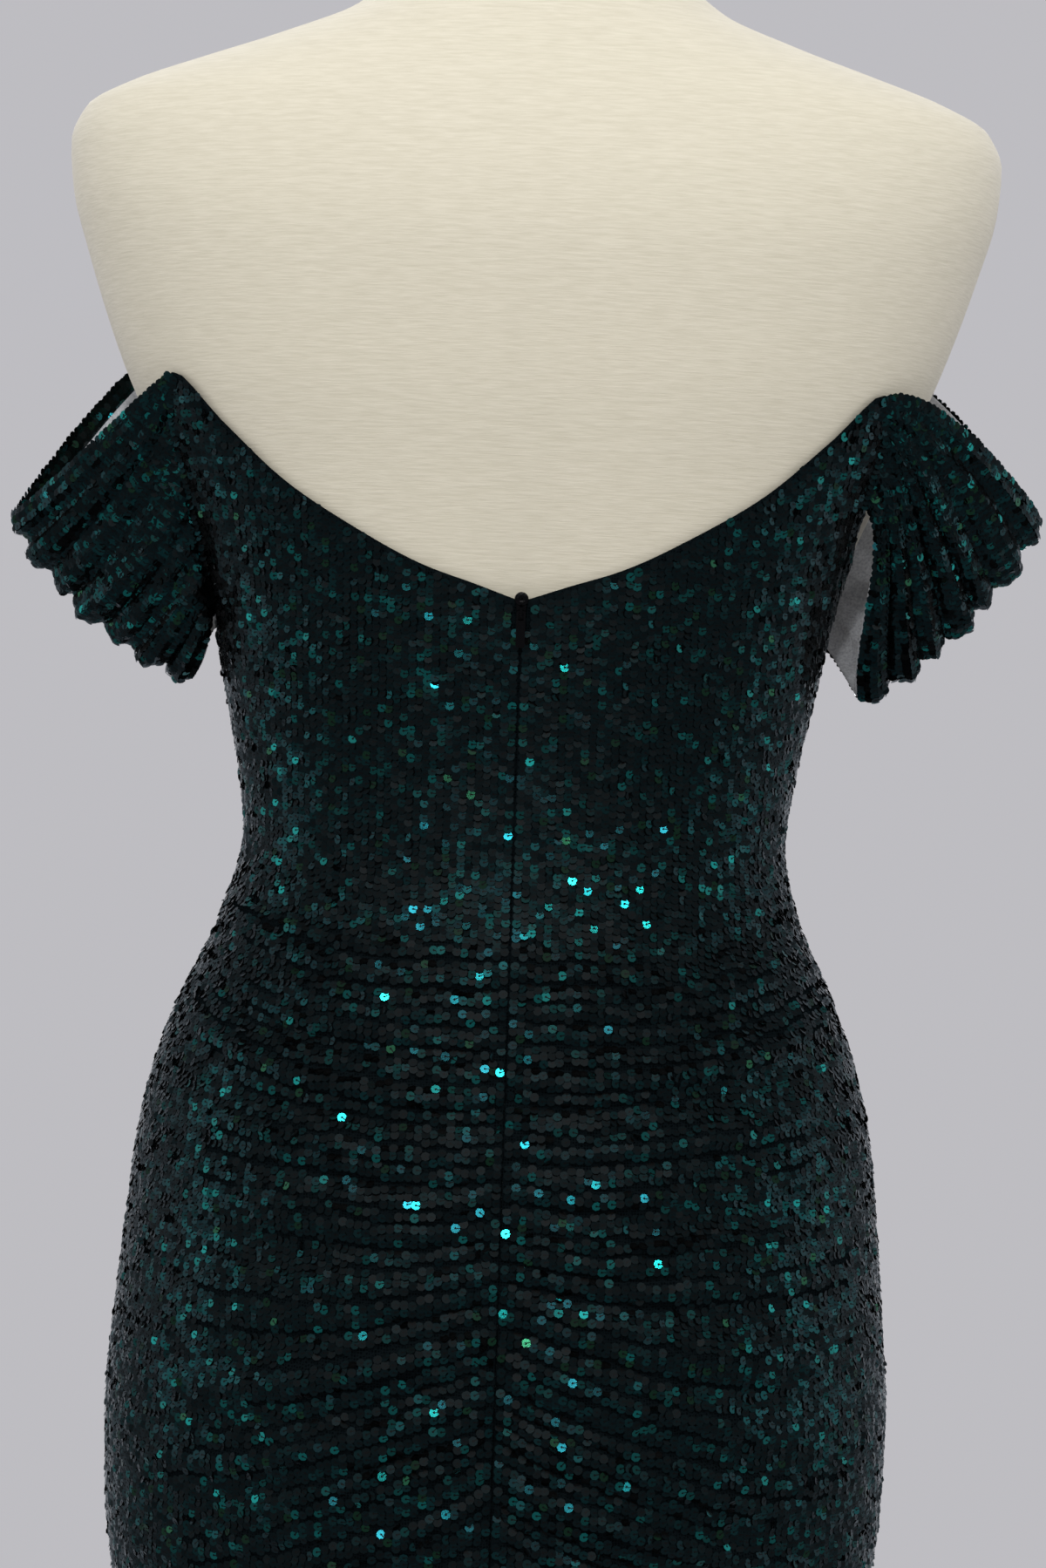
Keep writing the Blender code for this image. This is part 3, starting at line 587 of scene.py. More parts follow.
def fold_height(side, across, z):
    """The large folds' bells, each faded towards its reach and pinched at the seam, and the
    fine ones' arches: a parabola to the power 0.6 between two valleys."""
    height = np.zeros_like(z)
    for start, depth, width, reach in FOLDS[side]:
        fade = smooth_step((reach - across) / (FOLD_FADE * reach))
        pinched = FOLD_AT_SEAM + (1 - FOLD_AT_SEAM) * smooth_step(across / FOLD_RISE)
        ridge = FOLD_SHARE * depth * bell((z - fold_line(start, across)) / width)
        height += ridge * fade * pinched
    near = (z > GATHERED[0]) & (z < GATHERED[1])
    place, fine = fine_folds(side, across[near], z[near])
    height[near] += fine * (1 - (2 * place - 1) ** 2) ** FINE_POWER
    return height


def flute_height(theta, z):
    """The flutes' bells round the figure, opening as the power 1.5 of the way to the hem."""
    opened = np.clip((FLUTE_TOP - z) / (FLUTE_TOP - HEM_Z), 0, 1) ** FLUTE_POWER
    height = np.zeros_like(z)
    for degrees, half, depth in FLUTES:
        turn = (np.degrees(theta) - degrees + 180) % 360 - 180
        height += depth * bell(turn / half)
    return opened * height


def unit(ways):
    """Each way at a length of 1."""
    return ways / np.linalg.norm(ways, axis=-1, keepdims=True)


def cloth_at(theta, z, out):
    """The cloth's line moved out, level, at right angles to its section."""
    step = 1e-3
    along = figure(theta + step, z, cloth=True) - figure(theta - step, z, cloth=True)
    way = unit(np.stack([-along[..., 1], along[..., 0], 0 * along[..., 0]], axis=-1))
    return figure(theta, z, cloth=True) + way * np.asarray(out)[..., None]


def top_edge(theta):
    """The table's height at the turn from the centre back, and the slit's bell on the right."""
    turn = (np.degrees(theta) + 180) % 360 - 180
    return through(TOP_EDGE, 1, np.abs(turn)) + SLIT_RISE * bell((turn - SLIT_DEGREES) / SLIT_HALF)


PANELS = {
    # name        its two sides, in degrees, a back panel's centre seam first
    "back_left": (0.0, 92.0),
    "back_right": (0.0, -92.0),
    "front": (92.0, 268.0),
}


def panel_at(panel, theta, z, depth=0.0):
    """A point of a panel's outer face: the cloth's line out by its ease, thickness, flutes
    and folds, less depth. At the seams it keeps its gap."""
    raised = flute_height(theta, z)
    if panel != "front":
        across = np.abs(figure(theta, z, cloth=True)[..., 0])
        raised = raised + fold_height(panel[5:], across, z)
    points = cloth_at(theta, z, EASE + CLOTH - depth + raised)
    if panel != "front":
        sign = 1 if panel == "back_left" else -1
        points[..., 0] += sign * SEAM_GAP / 2 * bell(points[..., 0] / SEAM_REACH)
        points[..., 0] = sign * np.maximum(sign * points[..., 0], SEAM_GAP / 2)
    return points


def shell(name, outer, inner, material):
    """A closed wall between two grids of the same size: both faces and a rim all round."""
    rows, columns = outer.shape[:2]
    count = rows * columns
    rim = np.concatenate([
        np.arange(columns),
        columns * np.arange(1, rows) + columns - 1,
        (rows - 1) * columns + np.arange(columns - 2, -1, -1),
        columns * np.arange(rows - 2, 0, -1),
    ])
    after = np.roll(rim, -1)
    faces = [
        squares(rows, columns),
        squares(rows, columns, first=count)[:, ::-1],
        np.stack([rim, after, after + count, rim + count], axis=-1),
    ]
    points = np.concatenate([outer.reshape(-1, 3), inner.reshape(-1, 3)])
    a, b, c = (points[faces[0][:, k]] for k in (0, 1, 2))
    facing = np.einsum("ij,ij->i", np.cross(b - a, c - a), a - inner.reshape(-1, 3)[faces[0][:, 0]])
    if facing.sum() < 0:
        faces = [f[:, ::-1] for f in faces]
    return make_piece(name, points, faces, material)


# Knitted nylon net on a stretch backing: near black with a little teal, quite matt, its
# 1.2 mm mesh seen only between the sequins and on the inside.
net, tree, shader = new_finish("knitted_nylon_net")
NET_MESH = 1.2                         # mm
mesh_place = object_place(tree, NET_MESH, NET_MESH, NET_MESH)
cells = add_node(
    tree, "TexVoronoi", {"Vector": mesh_place, "Scale": 1.0, "Randomness": 0.35},
    feature="DISTANCE_TO_EDGE",
)
tone = add_node(
    tree, "ValToRGB", {"Fac": cells.outputs["Distance"]},
    ramp=((0.05, "0A0F11"), (0.30, "030506")),
)
fill(tree, shader, {
    "Base Color": tone.outputs["Color"],
    "Normal": relief(tree, cells.outputs["Distance"], distance=0.0003, strength=0.6, invert=True),
    "Roughness": 0.8,
    "Specular IOR Level": 0.0,
})

BODICE_STEPS, GATHER_STEPS, SKIRT_STEPS = 46, 172, 70
GATHERS = (1.050, 0.762)
FRONT_STEPS = 50               # the front's rows beside the gathers, where it is smooth
PANEL_COLUMNS = {"back_left": 52, "back_right": 52, "front": 92}
SEAM_CROWDING = 1.25           # a power: a back panel's columns are closer at its gathered seam


def panel_grid(thetas, gather_steps):
    """Angles and heights of a panel's grid: rows from the top edge, sharing out its height
    down to the gathers, then level."""
    share = np.linspace(0, 1, BODICE_STEPS, endpoint=False)[:, None]
    first = top_edge(thetas)[None, :] * (1 - share) + GATHERS[0] * share
    levels = np.concatenate([
        np.linspace(GATHERS[0], GATHERS[1], gather_steps, endpoint=False),
        np.linspace(GATHERS[1], HEM_Z, SKIRT_STEPS),
    ])
    z = np.concatenate([first, np.repeat(levels[:, None], len(thetas), axis=1)])
    return np.broadcast_to(thetas, z.shape), z


panel_pieces = {}
for panel, (first, last) in PANELS.items():
    share = np.linspace(0, 1, PANEL_COLUMNS[panel])
    if panel != "front":
        share = share ** SEAM_CROWDING
    thetas = np.radians(first + (last - first) * share)
    theta, z = panel_grid(thetas, GATHER_STEPS if panel != "front" else FRONT_STEPS)
    panel_pieces[panel] = shell(
        f"panel_{panel}", panel_at(panel, theta, z), panel_at(panel, theta, z, depth=CLOTH), net
    )
    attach(panel_pieces[panel], "root")
    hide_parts(panel)


# ---------------------------------------------------------------- the sequins
# Flat 4 mm discs of dark teal foil, each sewn on through its centre hole with a slanted
# stitch. They lie in columns down the cloth, 3.25 mm apart, and lap like scales.
SEQUIN_RADIUS = 0.0020
COLUMN_STEP, SEQUIN_STEP = 0.00325, 0.00305
SEQUIN_TUCK = radians(9)       # each one's lower edge stands out over the next
SEQUIN_LOOSE = radians(7)      # how far they lie askew, one to the next
LOOSE_SHARE, LOOSE_MORE = 0.12, 2.2     # some hang looser
SEQUIN_LIFT = 0.00045
SEQUIN_UNEVEN, SEQUIN_SWAY = 0.00012, 0.00014
STITCH_UNEVEN = 0.25           # radians
EDGE_CLEAR = 0.0011            # from a sequin's middle to the cut edge
SEAM_CLEAR = 0.0024            # the same at the centre back seam
CELLS = 190                    # sequins along a side of their shared square map
CELL_FILLED = 0.47             # a disc's radius in its cell


def sequins(name, place, normal, down, sides, seed):
    """Discs as polygons: each point is the middle plus the radius times the cosine of its
    angle across and the sine along, on axes tilted at random and tucked downwards."""
    draw = np.random.default_rng(seed)
    count = len(place)
    across = unit(np.cross(down, normal))
    loose = SEQUIN_LOOSE * np.where(draw.random(count) < LOOSE_SHARE, LOOSE_MORE, 1.0)
    tuck = np.tan(SEQUIN_TUCK + draw.normal(0, 1, count) * loose)[:, None]
    lean = np.tan(draw.normal(0, 1, count) * loose)[:, None]
    normal = unit(normal - down * tuck + across * lean)
    down = unit(down - normal * np.sum(down * normal, axis=-1, keepdims=True))
    across = np.cross(down, normal)
    place = place + normal * (SEQUIN_LIFT + draw.uniform(0, SEQUIN_UNEVEN, count)[:, None])
    place = place + across * draw.normal(0, SEQUIN_SWAY, count)[:, None]
    angle = (np.arange(sides) + 0.5) * 2 * pi / sides
    spin = draw.uniform(0, 2 * pi / sides, count)[:, None] + angle
    points = place[:, None] + SEQUIN_RADIUS * (
        np.cos(spin)[..., None] * across[:, None] - np.sin(spin)[..., None] * down[:, None]
    )
    faces = np.arange(count * sides).reshape(count, sides)
    made = make_piece(name, points.reshape(-1, 3), [faces], foil, smooth=False)
    cell = np.stack([np.arange(count) % CELLS, np.arange(count) // CELLS], axis=-1)[:, None]
    stitch_turn = angle[None, :] + draw.normal(0, STITCH_UNEVEN, count)[:, None]
    disc = 0.5 + CELL_FILLED * np.stack([np.cos(stitch_turn), np.sin(stitch_turn)], axis=-1)
    made.data.uv_layers.new(name="OFBake").data.foreach_set("uv", ((cell + disc) / CELLS).ravel())
    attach(made, "root")
    return made


# Polyester film with a vacuum-coated dark teal foil: nearly black, mirror-like, so only the
# few discs that face a lamp flash cyan. Some are greener. A few discs, picked at random, are
# given a brighter teal foil: painted light, standing in for discs that catch the light. The
# hole and the stitch are dark.
foil, tree, shader = new_finish("dark_teal_foil")
FOIL_TONES_AND_PAINTED_LIGHT = (
    # from  colour
    (0.00, "011013"),
    (0.45, "011518"),
    (0.72, "022426"),
    # painted light: these two brighter teal tones stand in for discs that catch the light
    (0.90, "043C3A"),
    (0.95, "06504E"),
    (0.98, "0B2C1D"),
)
HOLE_RADIUS, THREAD_HALF = 0.11, 0.050     # of a cell
THREAD_WAY = (-0.89, 0.45)


def reckon(operation, *inputs, kind="Math", result=0):
    """What a maths node of the foil makes of its inputs, each a value or a socket."""
    return add_node(tree, kind, dict(enumerate(inputs)), operation=operation).outputs[result]


disc_map = add_node(tree, "UVMap", uv_map="OFBake").outputs["UV"]
spread = reckon("MULTIPLY", disc_map, (CELLS,) * 3, kind="VectorMath")
which = reckon("FLOOR", spread, kind="VectorMath")
within = reckon("FRACTION", spread, kind="VectorMath")
centred = reckon("SUBTRACT", within, (0.5, 0.5, 0.0), kind="VectorMath")
away = reckon("LENGTH", centred, kind="VectorMath", result="Value")
chance = add_node(tree, "TexWhiteNoise", {"Vector": which}, noise_dimensions="2D")
# each disc's tone, picked at random; the brighter teal ones are painted light
tone = add_node(tree, "ValToRGB", {"Fac": chance.outputs["Value"]}, ramp=FOIL_TONES_AND_PAINTED_LIGHT)
tone.color_ramp.interpolation = "CONSTANT"
off_thread, along_thread = (
    reckon("DOT_PRODUCT", centred, way, kind="VectorMath", result="Value")
    for way in ((THREAD_WAY[1], -THREAD_WAY[0], 0.0), (*THREAD_WAY, 0.0))
)
hole = reckon("LESS_THAN", away, HOLE_RADIUS)
thread = reckon("LESS_THAN", reckon("ABSOLUTE", off_thread), THREAD_HALF)
stitch = reckon("MULTIPLY", thread, reckon("GREATER_THAN", along_thread, 0.0))
dark = reckon("MAXIMUM", hole, stitch)
FACTOR, FIRST, SECOND, MIXED = 0, 6, 7, 2      # a colour Mix's sockets
colour = add_node(
    tree, "Mix", data_type="RGBA",
    inputs={FACTOR: dark, FIRST: tone.outputs["Color"], SECOND: linear("050708")},
)
rough = add_node(tree, "MapRange", {"Value": dark, "To Min": 0.10, "To Max": 0.8})
fill(tree, shader, {
    "Base Color": colour.outputs[MIXED],
    "Roughness": rough.outputs[0],
    "Metallic": 1.0,
    "Specular Tint": linear("DCE2E6"),
    "Coat Weight": 0.12,               # the clear film, dulled by handling
    "Coat Roughness": 0.45,
})


# The grid on which the columns are found: steps across a panel, and levels from the top down.
SEARCH_STEPS, SEARCH_TOP, SEARCH_LEVEL, SEARCH_NUDGE = 121, 1.302, 0.0014, 4e-4
# Every other column starts half a sequin lower, and each drifts a little from that.
STAGGER, DRIFT, DRIFT_TURN = 0.5, 0.25, 2.4
# A valley of the fine folds, where they are this deep, swallows the sequins past this share of
# the way from the ridge to its bottom.
VALLEY_SHARE, VALLEY_DEPTH = 0.70, 0.0008


def distances(line):
    """How far each point of a line lies along it from its first."""
    return np.concatenate([[0], np.cumsum(np.linalg.norm(np.diff(line, axis=0), axis=1))])


def between(values, run, at):
    """Rows of values, given at the distances run, read off on straight lines at others."""
    return np.stack([np.interp(at, run, values[:, axis]) for axis in range(3)], axis=-1)


def columns_of(panel, low, high):
    """Middles, normals and downward ways of a panel's sequins between two heights.

    Each column keeps its distance along the cloth from the panel's seam, or from the middle
    of the front, at every height, and the sequins share its length out evenly."""
    first, last = (radians(a) for a in PANELS[panel])
    level = np.arange(SEARCH_TOP, HEM_Z, -SEARCH_LEVEL)
    found = []
    for start, end in ((pi, first), (pi, last)) if panel == "front" else ((first, last),):
        thetas = start + (end - start) * np.linspace(0, 1, SEARCH_STEPS)
        theta, z = np.meshgrid(thetas, level)
        smooth = cloth_at(theta, z, EASE + CLOTH + flute_height(theta, z))
        arc = np.cumsum(np.linalg.norm(np.diff(smooth, axis=1), axis=2), axis=1)
        arc = np.concatenate([np.zeros((len(level), 1)), arc], axis=1)
        begin = COLUMN_STEP / 2 if panel == "front" else SEAM_CLEAR
        wanted = np.arange(begin, arc[:, -1].max() - EDGE_CLEAR, COLUMN_STEP)
        column_theta = np.stack([np.interp(wanted, row, thetas) for row in arc])
        inside = wanted[None, :] < arc[:, -1:] - EDGE_CLEAR
        z = np.repeat(level[:, None], len(wanted), axis=1)
        inside &= z < top_edge(column_theta) - EDGE_CLEAR
        points = panel_at(panel, column_theta, z)
        nudge = SEARCH_NUDGE * np.sign(end - start)
        beside = panel_at(panel, column_theta + nudge, z) - panel_at(panel, column_theta - nudge, z)
        down = np.gradient(points, axis=0)
        out = np.cross(beside, down) * np.sign(end - start)
        for k in range(len(wanted)):
            within = np.flatnonzero(inside[:, k])
            for rows in np.split(within, np.flatnonzero(np.diff(within) > 1) + 1):
                if len(rows) < 3:
                    continue
                run = distances(points[rows, k])
                phase = STAGGER * (k % 2) + DRIFT * sin(DRIFT_TURN * k) + DRIFT
                at = np.arange(phase * SEQUIN_STEP, run[-1] - EDGE_CLEAR, SEQUIN_STEP)
                lines = points[rows, k], unit(out[rows, k]), down[rows, k]
                found.append([between(line, run, at) for line in lines])
    places, outs, downs = (np.concatenate(lines) for lines in zip(*found))
    z = places[:, 2]
    kept = (z <= high) & (z > low)
    if panel != "front":
        place, fine = fine_folds(panel[5:], np.abs(places[:, 0]), z)
        gathered = (z > GATHERED[0]) & (z < GATHERED[1])
        kept &= ~(gathered & (np.abs(2 * place - 1) > VALLEY_SHARE) & (fine > VALLEY_DEPTH))
    return places[kept], unit(outs[kept]), unit(downs[kept])


# No sequin lies under the zip's slider.
SLIDER_HALF, SLIDER_LOW, SLIDER_HIGH = 0.0042, 1.1735, 1.1885
SEQUIN_PIECES = (
    # panel        name                         low    high  sides
    ("back_left", "sequins_back_left", 0.740, 1.4, 8),
    ("back_left", "sequins_back_left_skirt", 0.0, 0.740, 6),
    ("back_right", "sequins_back_right", 0.740, 1.4, 8),
    ("back_right", "sequins_back_right_skirt", 0.0, 0.740, 6),
    ("front", "sequins_front", 0.600, 1.4, 6),
    ("front", "sequins_front_skirt", 0.0, 0.600, 6),
)
sequin_pieces = {panel: [] for panel in PANELS}
for seed, (panel, name, low, high, sides) in enumerate(SEQUIN_PIECES):
    place, normal, down = columns_of(panel, low, high)
    under = (np.abs(place[:, 0]) < SLIDER_HALF) & (place[:, 1] > 0)
    under &= (place[:, 2] > SLIDER_LOW) & (place[:, 2] < SLIDER_HIGH)
    sequin_pieces[panel].append(
        sequins(name, place[~under], normal[~under], down[~under], sides, seed + 1)
    )


# ---------------------------------------------------------------- the sleeves
# Two off-shoulder bands of the same cloth, gathered into the armholes in small pleats that
# open as flutes round the outside of the arm, with a pale grey woven lining.
SLEEVES = {
    "left": (
        # place          top edge                     bottom edge
        ("back_swell", (0.1660, 0.0560, 1.2655), (0.1345, 0.0310, 1.1658)),
        ("back_turn", (0.2155, 0.0240, 1.2185), (0.1400, 0.0200, 1.1502)),
        ("turn", (0.2276, 0.0000, 1.2161), (0.1454, 0.0040, 1.1456)),
        ("front_turn", (0.2262, -0.0240, 1.2235), (0.1455, -0.0120, 1.1514)),
        ("front_swell", (0.1925, -0.0500, 1.2840), (0.1435, -0.0260, 1.1670)),
    ),
    "right": (
        ("back_swell", (0.1710, 0.0580, 1.2840), (0.1596, 0.0460, 1.2153)),
        ("back_turn", (0.2210, 0.0240, 1.2365), (0.1435, 0.0300, 1.1722)),
        ("turn", (0.2285, 0.0000, 1.2277), (0.1509, 0.0060, 1.1458)),
        ("front_turn", (0.2270, -0.0240, 1.2380), (0.1486, -0.0140, 1.1517)),
        ("front_swell", (0.1863, -0.0500, 1.2930), (0.1447, -0.0260, 1.1627)),
    ),
}
SLEEVE_JOINTS = {
    # the share of the armhole that the gathered end of the band takes
    "left": dict(back=(0.025, 0.95), front=(0.00, 0.95)),
    "right": dict(back=(0.02, 0.49), front=(0.00, 0.95)),
}
TURN_BOW = {"left": 0.008, "right": 0.007}
ARMHOLE = {
    # part     from    to     the panel's corners there    the way clear of them
    "back": (55.0, 80.0, (55, 62, 69, 76, 84), 1),
    "front": (122.0, 100.0, (92, 100, 107, 115, 122, 129), -1),
}
SLEEVE_OUT = 0.0036
ARMHOLE_GAP, ARMHOLE_RADIUS = 0.0007, 0.14
BOW_WAY = np.array((0.66, 0.0, -0.75))      # out and down, at the turn's middle
LINING, LINING_GAP = 0.0010, 0.0005
PLEAT_PHASE = {"left": 0.5, "right": 1.7}
PLEAT_AT_JOINT, PLEAT_POWER = 0.15, 0.7
FINE_PLEATS, FINE_PLEAT_DEPTH = 18, 0.0009
# How far the valleys wander, as shares of the band, and in what waves down it and round it.
WANDER, WANDER_DOWN = 0.030, 6.1
RIPPLE, RIPPLE_DOWN, RIPPLE_ROUND = 0.012, 17, 9
FINE_WANDER_PLEATS, FINE_WANDER_DOWN = 0.4, 7
# The pleats, from the top edge down.
PLEATS = {
    "left": (
        # share   depth
        (0.12, 0.0032),
        (0.16, 0.0056),
        (0.12, 0.0038),
        (0.19, 0.0060),
        (0.12, 0.0040),
        (0.17, 0.0055),
        (0.12, 0.0044),
    ),
    "right": (
        (0.13, 0.0036),
        (0.18, 0.0058),
        (0.12, 0.0040),
        (0.15, 0.0056),
        (0.12, 0.0040),
        (0.16, 0.0060),
        (0.14, 0.0048),
    ),
}


def armhole(side, part, share, out=SLEEVE_OUT):
    """Points along the panel's armhole edge, just clear of it, out from the figure."""
    start, end, columns, way = ARMHOLE[part]
    from_share, to_share = SLEEVE_JOINTS[side][part]
    degrees = start + (end - start) * (from_share + (to_share - from_share) * share)
    corners = np.radians(columns)
    edge = cloth_at(
        corners + way * ARMHOLE_GAP / ARMHOLE_RADIUS, top_edge(corners), np.full(len(corners), out)
    )
    return between(edge, columns, degrees)


def sleeve_base(side, u, v):
    """The band without pleats: u runs round the arm and v from the top edge down. Each half
    is a cubic curve from its joint to the turn, at every v."""
    rows = {place: np.array([top, bottom]) for place, top, bottom in SLEEVES[side]}
    down = v[..., None]
    place = {name: ends[0] * (1 - down) + ends[1] * down for name, ends in rows.items()}
    bow = TURN_BOW[side] * np.sin(pi * down) * BOW_WAY
    for name in ("back_turn", "turn", "front_turn"):
        place[name] = place[name] + bow
    halves = []
    for part in ("back", "front"):
        t = (np.clip(2 * u, 0, 1) if part == "back" else np.clip(2 - 2 * u, 0, 1))[..., None]
        joint = armhole(side, part, v)
        halves.append(
            joint * (1 - t) ** 3
            + place[f"{part}_swell"] * 3 * t * (1 - t) ** 2
            + place[f"{part}_turn"] * 3 * t**2 * (1 - t)
            + place["turn"] * t**3
        )
    return np.where(u[..., None] <= 0.5, halves[0], halves[1])


def normals(points):
    """Unit normals of a grid, outwards for a grid that runs round and then down."""
    round_arm, down = np.gradient(points, axis=(0, 1))
    return unit(np.cross(round_arm, down))


def pleats(side, u, v):
    """How far the pleats stand out: between each two valleys a raised cosine to the power 0.7,
    with a finer one over it, opening from the joints to the turn. The valleys wander a little."""
    shares, depths = np.array(PLEATS[side]).T
    valleys = np.concatenate([[0], np.cumsum(shares)])
    phase = PLEAT_PHASE[side]
    sway = WANDER * np.sin(WANDER_DOWN * v + phase) * np.sin(2 * pi * u)
    sway = sway + RIPPLE * np.sin(RIPPLE_DOWN * v + RIPPLE_ROUND * u + phase)
    at = np.clip(v + sway * np.sin(pi * v), 0, 1)
    k = np.clip(np.searchsorted(valleys, at, side="right") - 1, 0, len(shares) - 1)
    rise = (1 - np.cos(2 * pi * (at - valleys[k]) / shares[k])) / 2
    fine_at = FINE_PLEATS * at + FINE_WANDER_PLEATS * np.sin(FINE_WANDER_DOWN * v + phase)
    fine = (1 - np.cos(2 * pi * fine_at)) / 2
    opened = PLEAT_AT_JOINT + (1 - PLEAT_AT_JOINT) * smooth_step(1 - np.abs(2 * u - 1))
    return opened * (depths[k] * rise ** PLEAT_POWER + FINE_PLEAT_DEPTH * fine)


# Pale grey lining: a plain-woven acetate with a soft shine, mottled at about 1 mm.
lining_cloth, tree, shader = new_finish("grey_acetate_lining")
fuzz = add_node(tree, "TexNoise", {"Vector": object_place(tree), "Scale": 900.0, "Detail": 2.0})
tone = add_node(
    tree, "ValToRGB", {"Fac": fuzz.outputs["Fac"]}, ramp=((0.3, "8E9095"), (0.7, "B4B6BA"))
)
fill(tree, shader, {
    "Base Color": tone.outputs["Color"],
    "Normal": relief(tree, fuzz.outputs["Fac"], distance=0.0001, strength=0.4),
    "Roughness": 0.6,
    "Sheen Weight": 0.3,
})

SLEEVE_ROUND, SLEEVE_DOWN = 56, 109
# How much of the band, on the inside of its front half, shows the cloth's own turned-in edge,
# and where round the arm that edge deepens from the back's.
TURNED_IN = {"left": 0.078, "right": 0.004}
TURNED_IN_BACK, DEEPENS_FROM, DEEPENS_OVER = 0.004, 0.44, 0.12


def sleeve_faces(side):
    """The band's outer and inner face, and its lining's. The lining begins below the edge."""
    u, v = np.meshgrid(np.linspace(0, 1, SLEEVE_ROUND), np.linspace(0, 1, SLEEVE_DOWN), indexing="ij")
    deepened = (TURNED_IN[side] - TURNED_IN_BACK) * smooth_step((u - DEEPENS_FROM) / DEEPENS_OVER)
    edge = TURNED_IN_BACK + deepened
    faces = []
    for depth, down in ((0, v), (CLOTH, v), (CLOTH + LINING_GAP, edge + (1 - edge) * v)):
        base = sleeve_base(side, u, down)
        way = normals(base)
        faces.append(base + way * (pleats(side, u, down) - depth)[..., None])
    return (*faces, faces[2] - way * LINING)


LINES_ROUND, LINES_DOWN = 241, 401     # the grid on which the sleeves' lines are found
FRONT_HALF = 112                       # the first of its steps round on the turned-in edge
END_CLEAR = 0.0002


def band_lines(side):
    """Middles, outward ways and ways on for the sequins: their lines run round the arm, so
    they fan out with the pleats, and a few lie inside on the turned-in edge."""
    u, v = np.meshgrid(np.linspace(0, 1, LINES_ROUND), np.linspace(0, 1, LINES_DOWN), indexing="ij")
    base = sleeve_base(side, u, v)
    way = normals(base)
    rise = pleats(side, u, v)[..., None]
    outer, inner = base + way * rise, base + way * (rise - CLOTH)
    out = normals(outer)
    spread = np.linalg.norm(np.diff(outer, axis=1), axis=2).max(axis=0)
    drop = np.concatenate([[0], np.cumsum(spread)])
    over = np.arange(EDGE_CLEAR / 2, drop[-1] - EDGE_CLEAR / 2, COLUMN_STEP)
    under = np.arange(EDGE_CLEAR, TURNED_IN[side] * drop[-1], COLUMN_STEP)
    lines = [(at, outer, out, 0) for at in np.interp(over, drop, np.arange(LINES_DOWN))]
    lines += [(at, inner, -out, FRONT_HALF) for at in np.interp(under, drop, np.arange(LINES_DOWN))]
    found = []
    for k, (line, face, facing, first) in enumerate(lines):
        low = int(line)
        part = line - low
        points = (face[:, low] * (1 - part) + face[:, min(low + 1, LINES_DOWN - 1)] * part)[first:]
        run = distances(points)
        at = np.arange(END_CLEAR + (k % 2) * SEQUIN_STEP / 2, run[-1] - END_CLEAR, SEQUIN_STEP)
        ways = points, facing[first:, low], np.gradient(points, axis=0)
        found.append([between(values, run, at) for values in ways])
    return found


JOINT_STEPS = 200
COVER_START, COVER_STEP = 0.0006, 0.0024
COVER_ROWS = (
    # towards the panel   out      lean towards it
    (-0.0012, 0.0004, 0.3),
    (0.0008, -0.0001, 1.0),
    (0.0024, -0.0006, 0.6),
)


def joint_lines(side):
    """The same for the three rows that lie over each joint, so that the band and the panel
    read as one cloth."""
    share = np.linspace(0, 1, JOINT_STEPS)
    found = []
    for part in ("back", "front"):
        joint, under = armhole(side, part, share), armhole(side, part, share, out=0.0)
        run = distances(joint)
        at = np.arange(COVER_START, run[-1], COVER_STEP)
        along = np.gradient(joint, axis=0)
        out = unit(joint - under)
        beside = unit(np.cross(joint - under, along)) * (1 if part == "back" else -1)
        for over, proud, lean in COVER_ROWS:
            ways = joint + out * proud + beside * over, out + beside * lean, along
            found.append([between(values, run, at) for values in ways])
    return found


SLEEVE_SEED = {"left": 41, "right": 39}
for side, mirror in (("left", (1, 1, 1)), ("right", (-1, 1, 1))):
    faces = [face * mirror for face in sleeve_faces(side)]
    band = shell(f"sleeve_band_{side}", faces[0], faces[1], net)
    inner = shell(f"sleeve_inside_{side}", faces[2], faces[3], lining_cloth)
    for piece, node, slot in (
        (band, f"sleeve_{side}", "sequin_cloth"),
        (inner, f"sleeve_lining_{side}", "sleeve_lining"),
    ):
        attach(piece, "root")
        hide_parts(node)
    lines = zip(*band_lines(side), *joint_lines(side))
    places, outs, ways = (np.concatenate(values) * mirror for values in lines)
    glitter = sequins(
        f"sequins_sleeve_{side}", places, unit(outs), unit(ways), sides=8, seed=SLEEVE_SEED[side]
    )


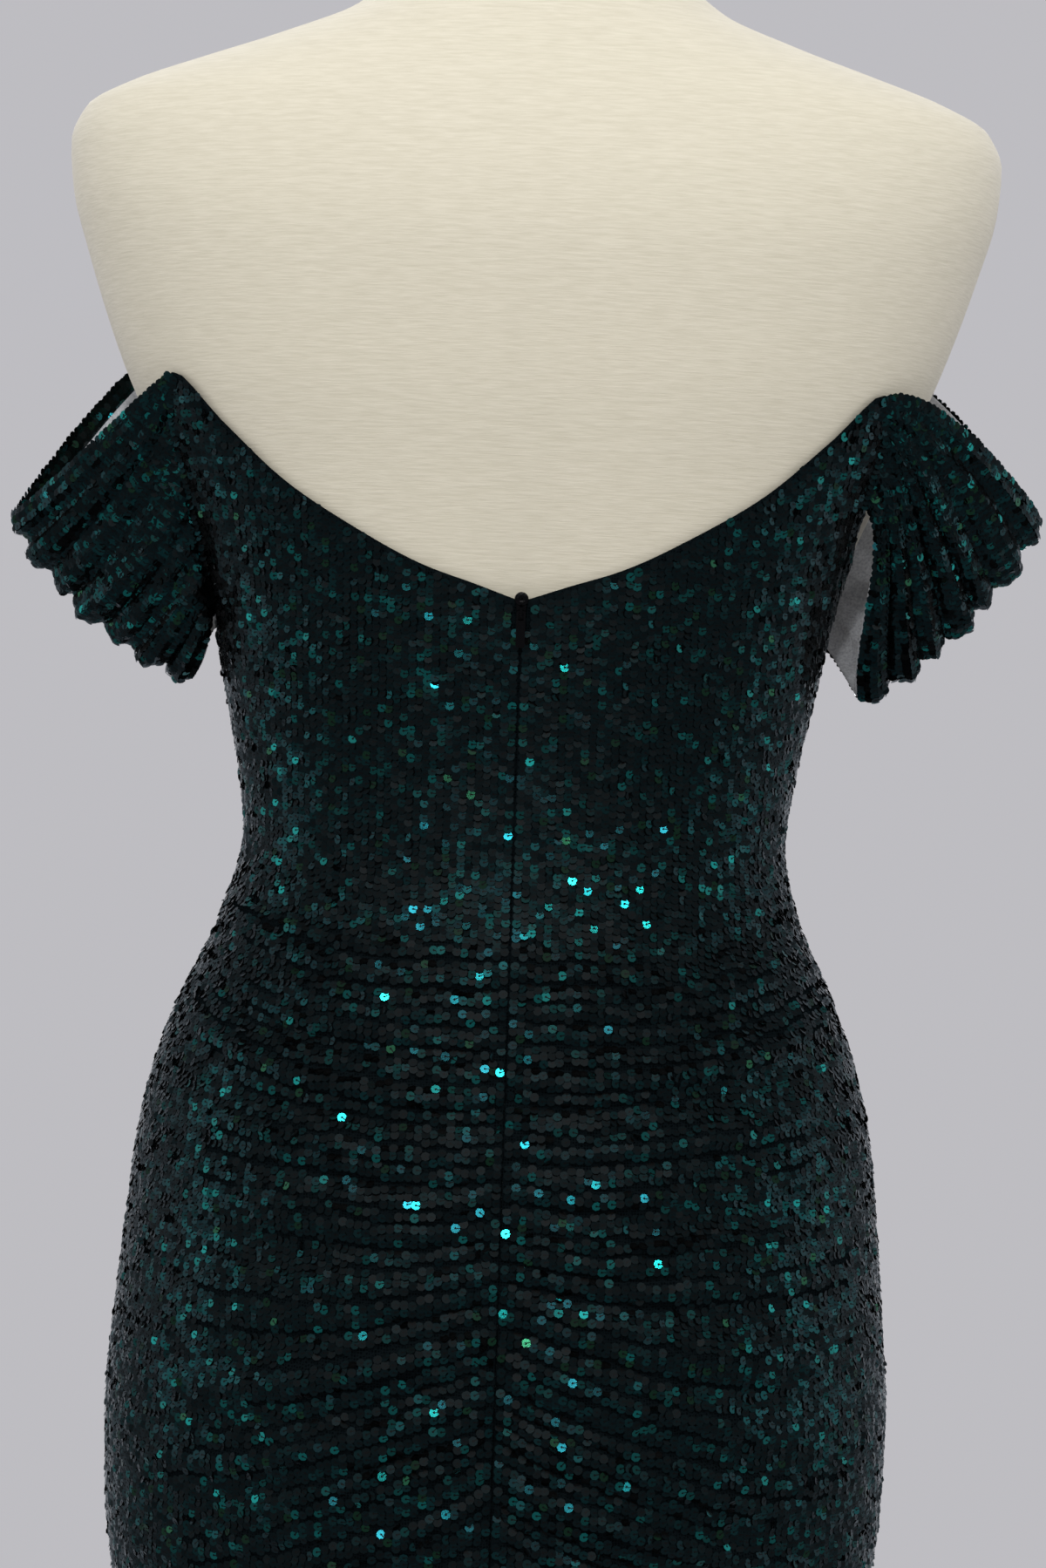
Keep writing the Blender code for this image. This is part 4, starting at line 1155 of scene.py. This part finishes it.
# ---------------------------------------------------------------- the zip
# A nylon coil zip on a woven tape, closed behind the centre back seam, with a small cast zinc
# slider in glossy black enamel and a flat pull that hangs from its bridge.
tape_cloth, tree, shader = new_finish("woven_polyester_tape")    # black, matt, with level ribs
TAPE_RIB = 5.03                        # mm
ribs = add_node(
    tree, "TexWave", {"Vector": object_place(tree), "Scale": WAVE / TAPE_RIB},
    bands_direction="Z",
)
fill(tree, shader, {
    "Base Color": linear("0B0D0F"),
    "Normal": relief(tree, ribs.outputs["Fac"], distance=0.0001, strength=0.6),
    "Roughness": 0.85,
})
enamel, tree, shader = new_finish("glossy_black_enamel")         # a thin coat that wears grey
wear = add_node(tree, "TexNoise", {"Vector": object_place(tree), "Scale": 700.0, "Detail": 4.0})
tone = add_node(
    tree, "ValToRGB", {"Fac": wear.outputs["Fac"]},
    ramp=((0.62, "030304"), (0.80, "0E0E10")),
)
fill(tree, shader, {
    "Base Color": tone.outputs["Color"],
    "Roughness": 0.16,
    "Specular IOR Level": 0.06,
})
for node, finish in (("zip_chain", tape_cloth), ("zip_slider", enamel), ("zip_pull", enamel)):
    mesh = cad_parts[node].data
    mesh.materials.clear()
    mesh.materials.append(finish)

# The slider's crown: its plate is rolled over into a round eye that stands above the neckline.
# It is a flattened ring, with the wall's section carried round the eye.
CROWN_RADIUS, CROWN_WALL, CROWN_THICK = 0.0016, 0.0013, 0.0008
CROWN_MIDDLE = (0.0, 0.0994, 1.1858)
CROWN_ROUND, CROWN_SIDES = 40, 16
around, across_wall = np.meshgrid(
    steps_round(CROWN_ROUND), steps_round(CROWN_SIDES), indexing="ij"
)
wide = CROWN_RADIUS + CROWN_WALL * np.cos(across_wall)
eye = np.stack([
    CROWN_MIDDLE[0] + wide * np.cos(around),
    CROWN_MIDDLE[1] + CROWN_THICK * np.sin(across_wall),
    CROWN_MIDDLE[2] + wide * np.sin(around),
], axis=-1)
joined = squares(CROWN_ROUND + 1, CROWN_SIDES, closed=True) % (CROWN_ROUND * CROWN_SIDES)
crown = make_piece("slider_crown", eye.reshape(-1, 3), [joined], enamel)
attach(crown, "root")
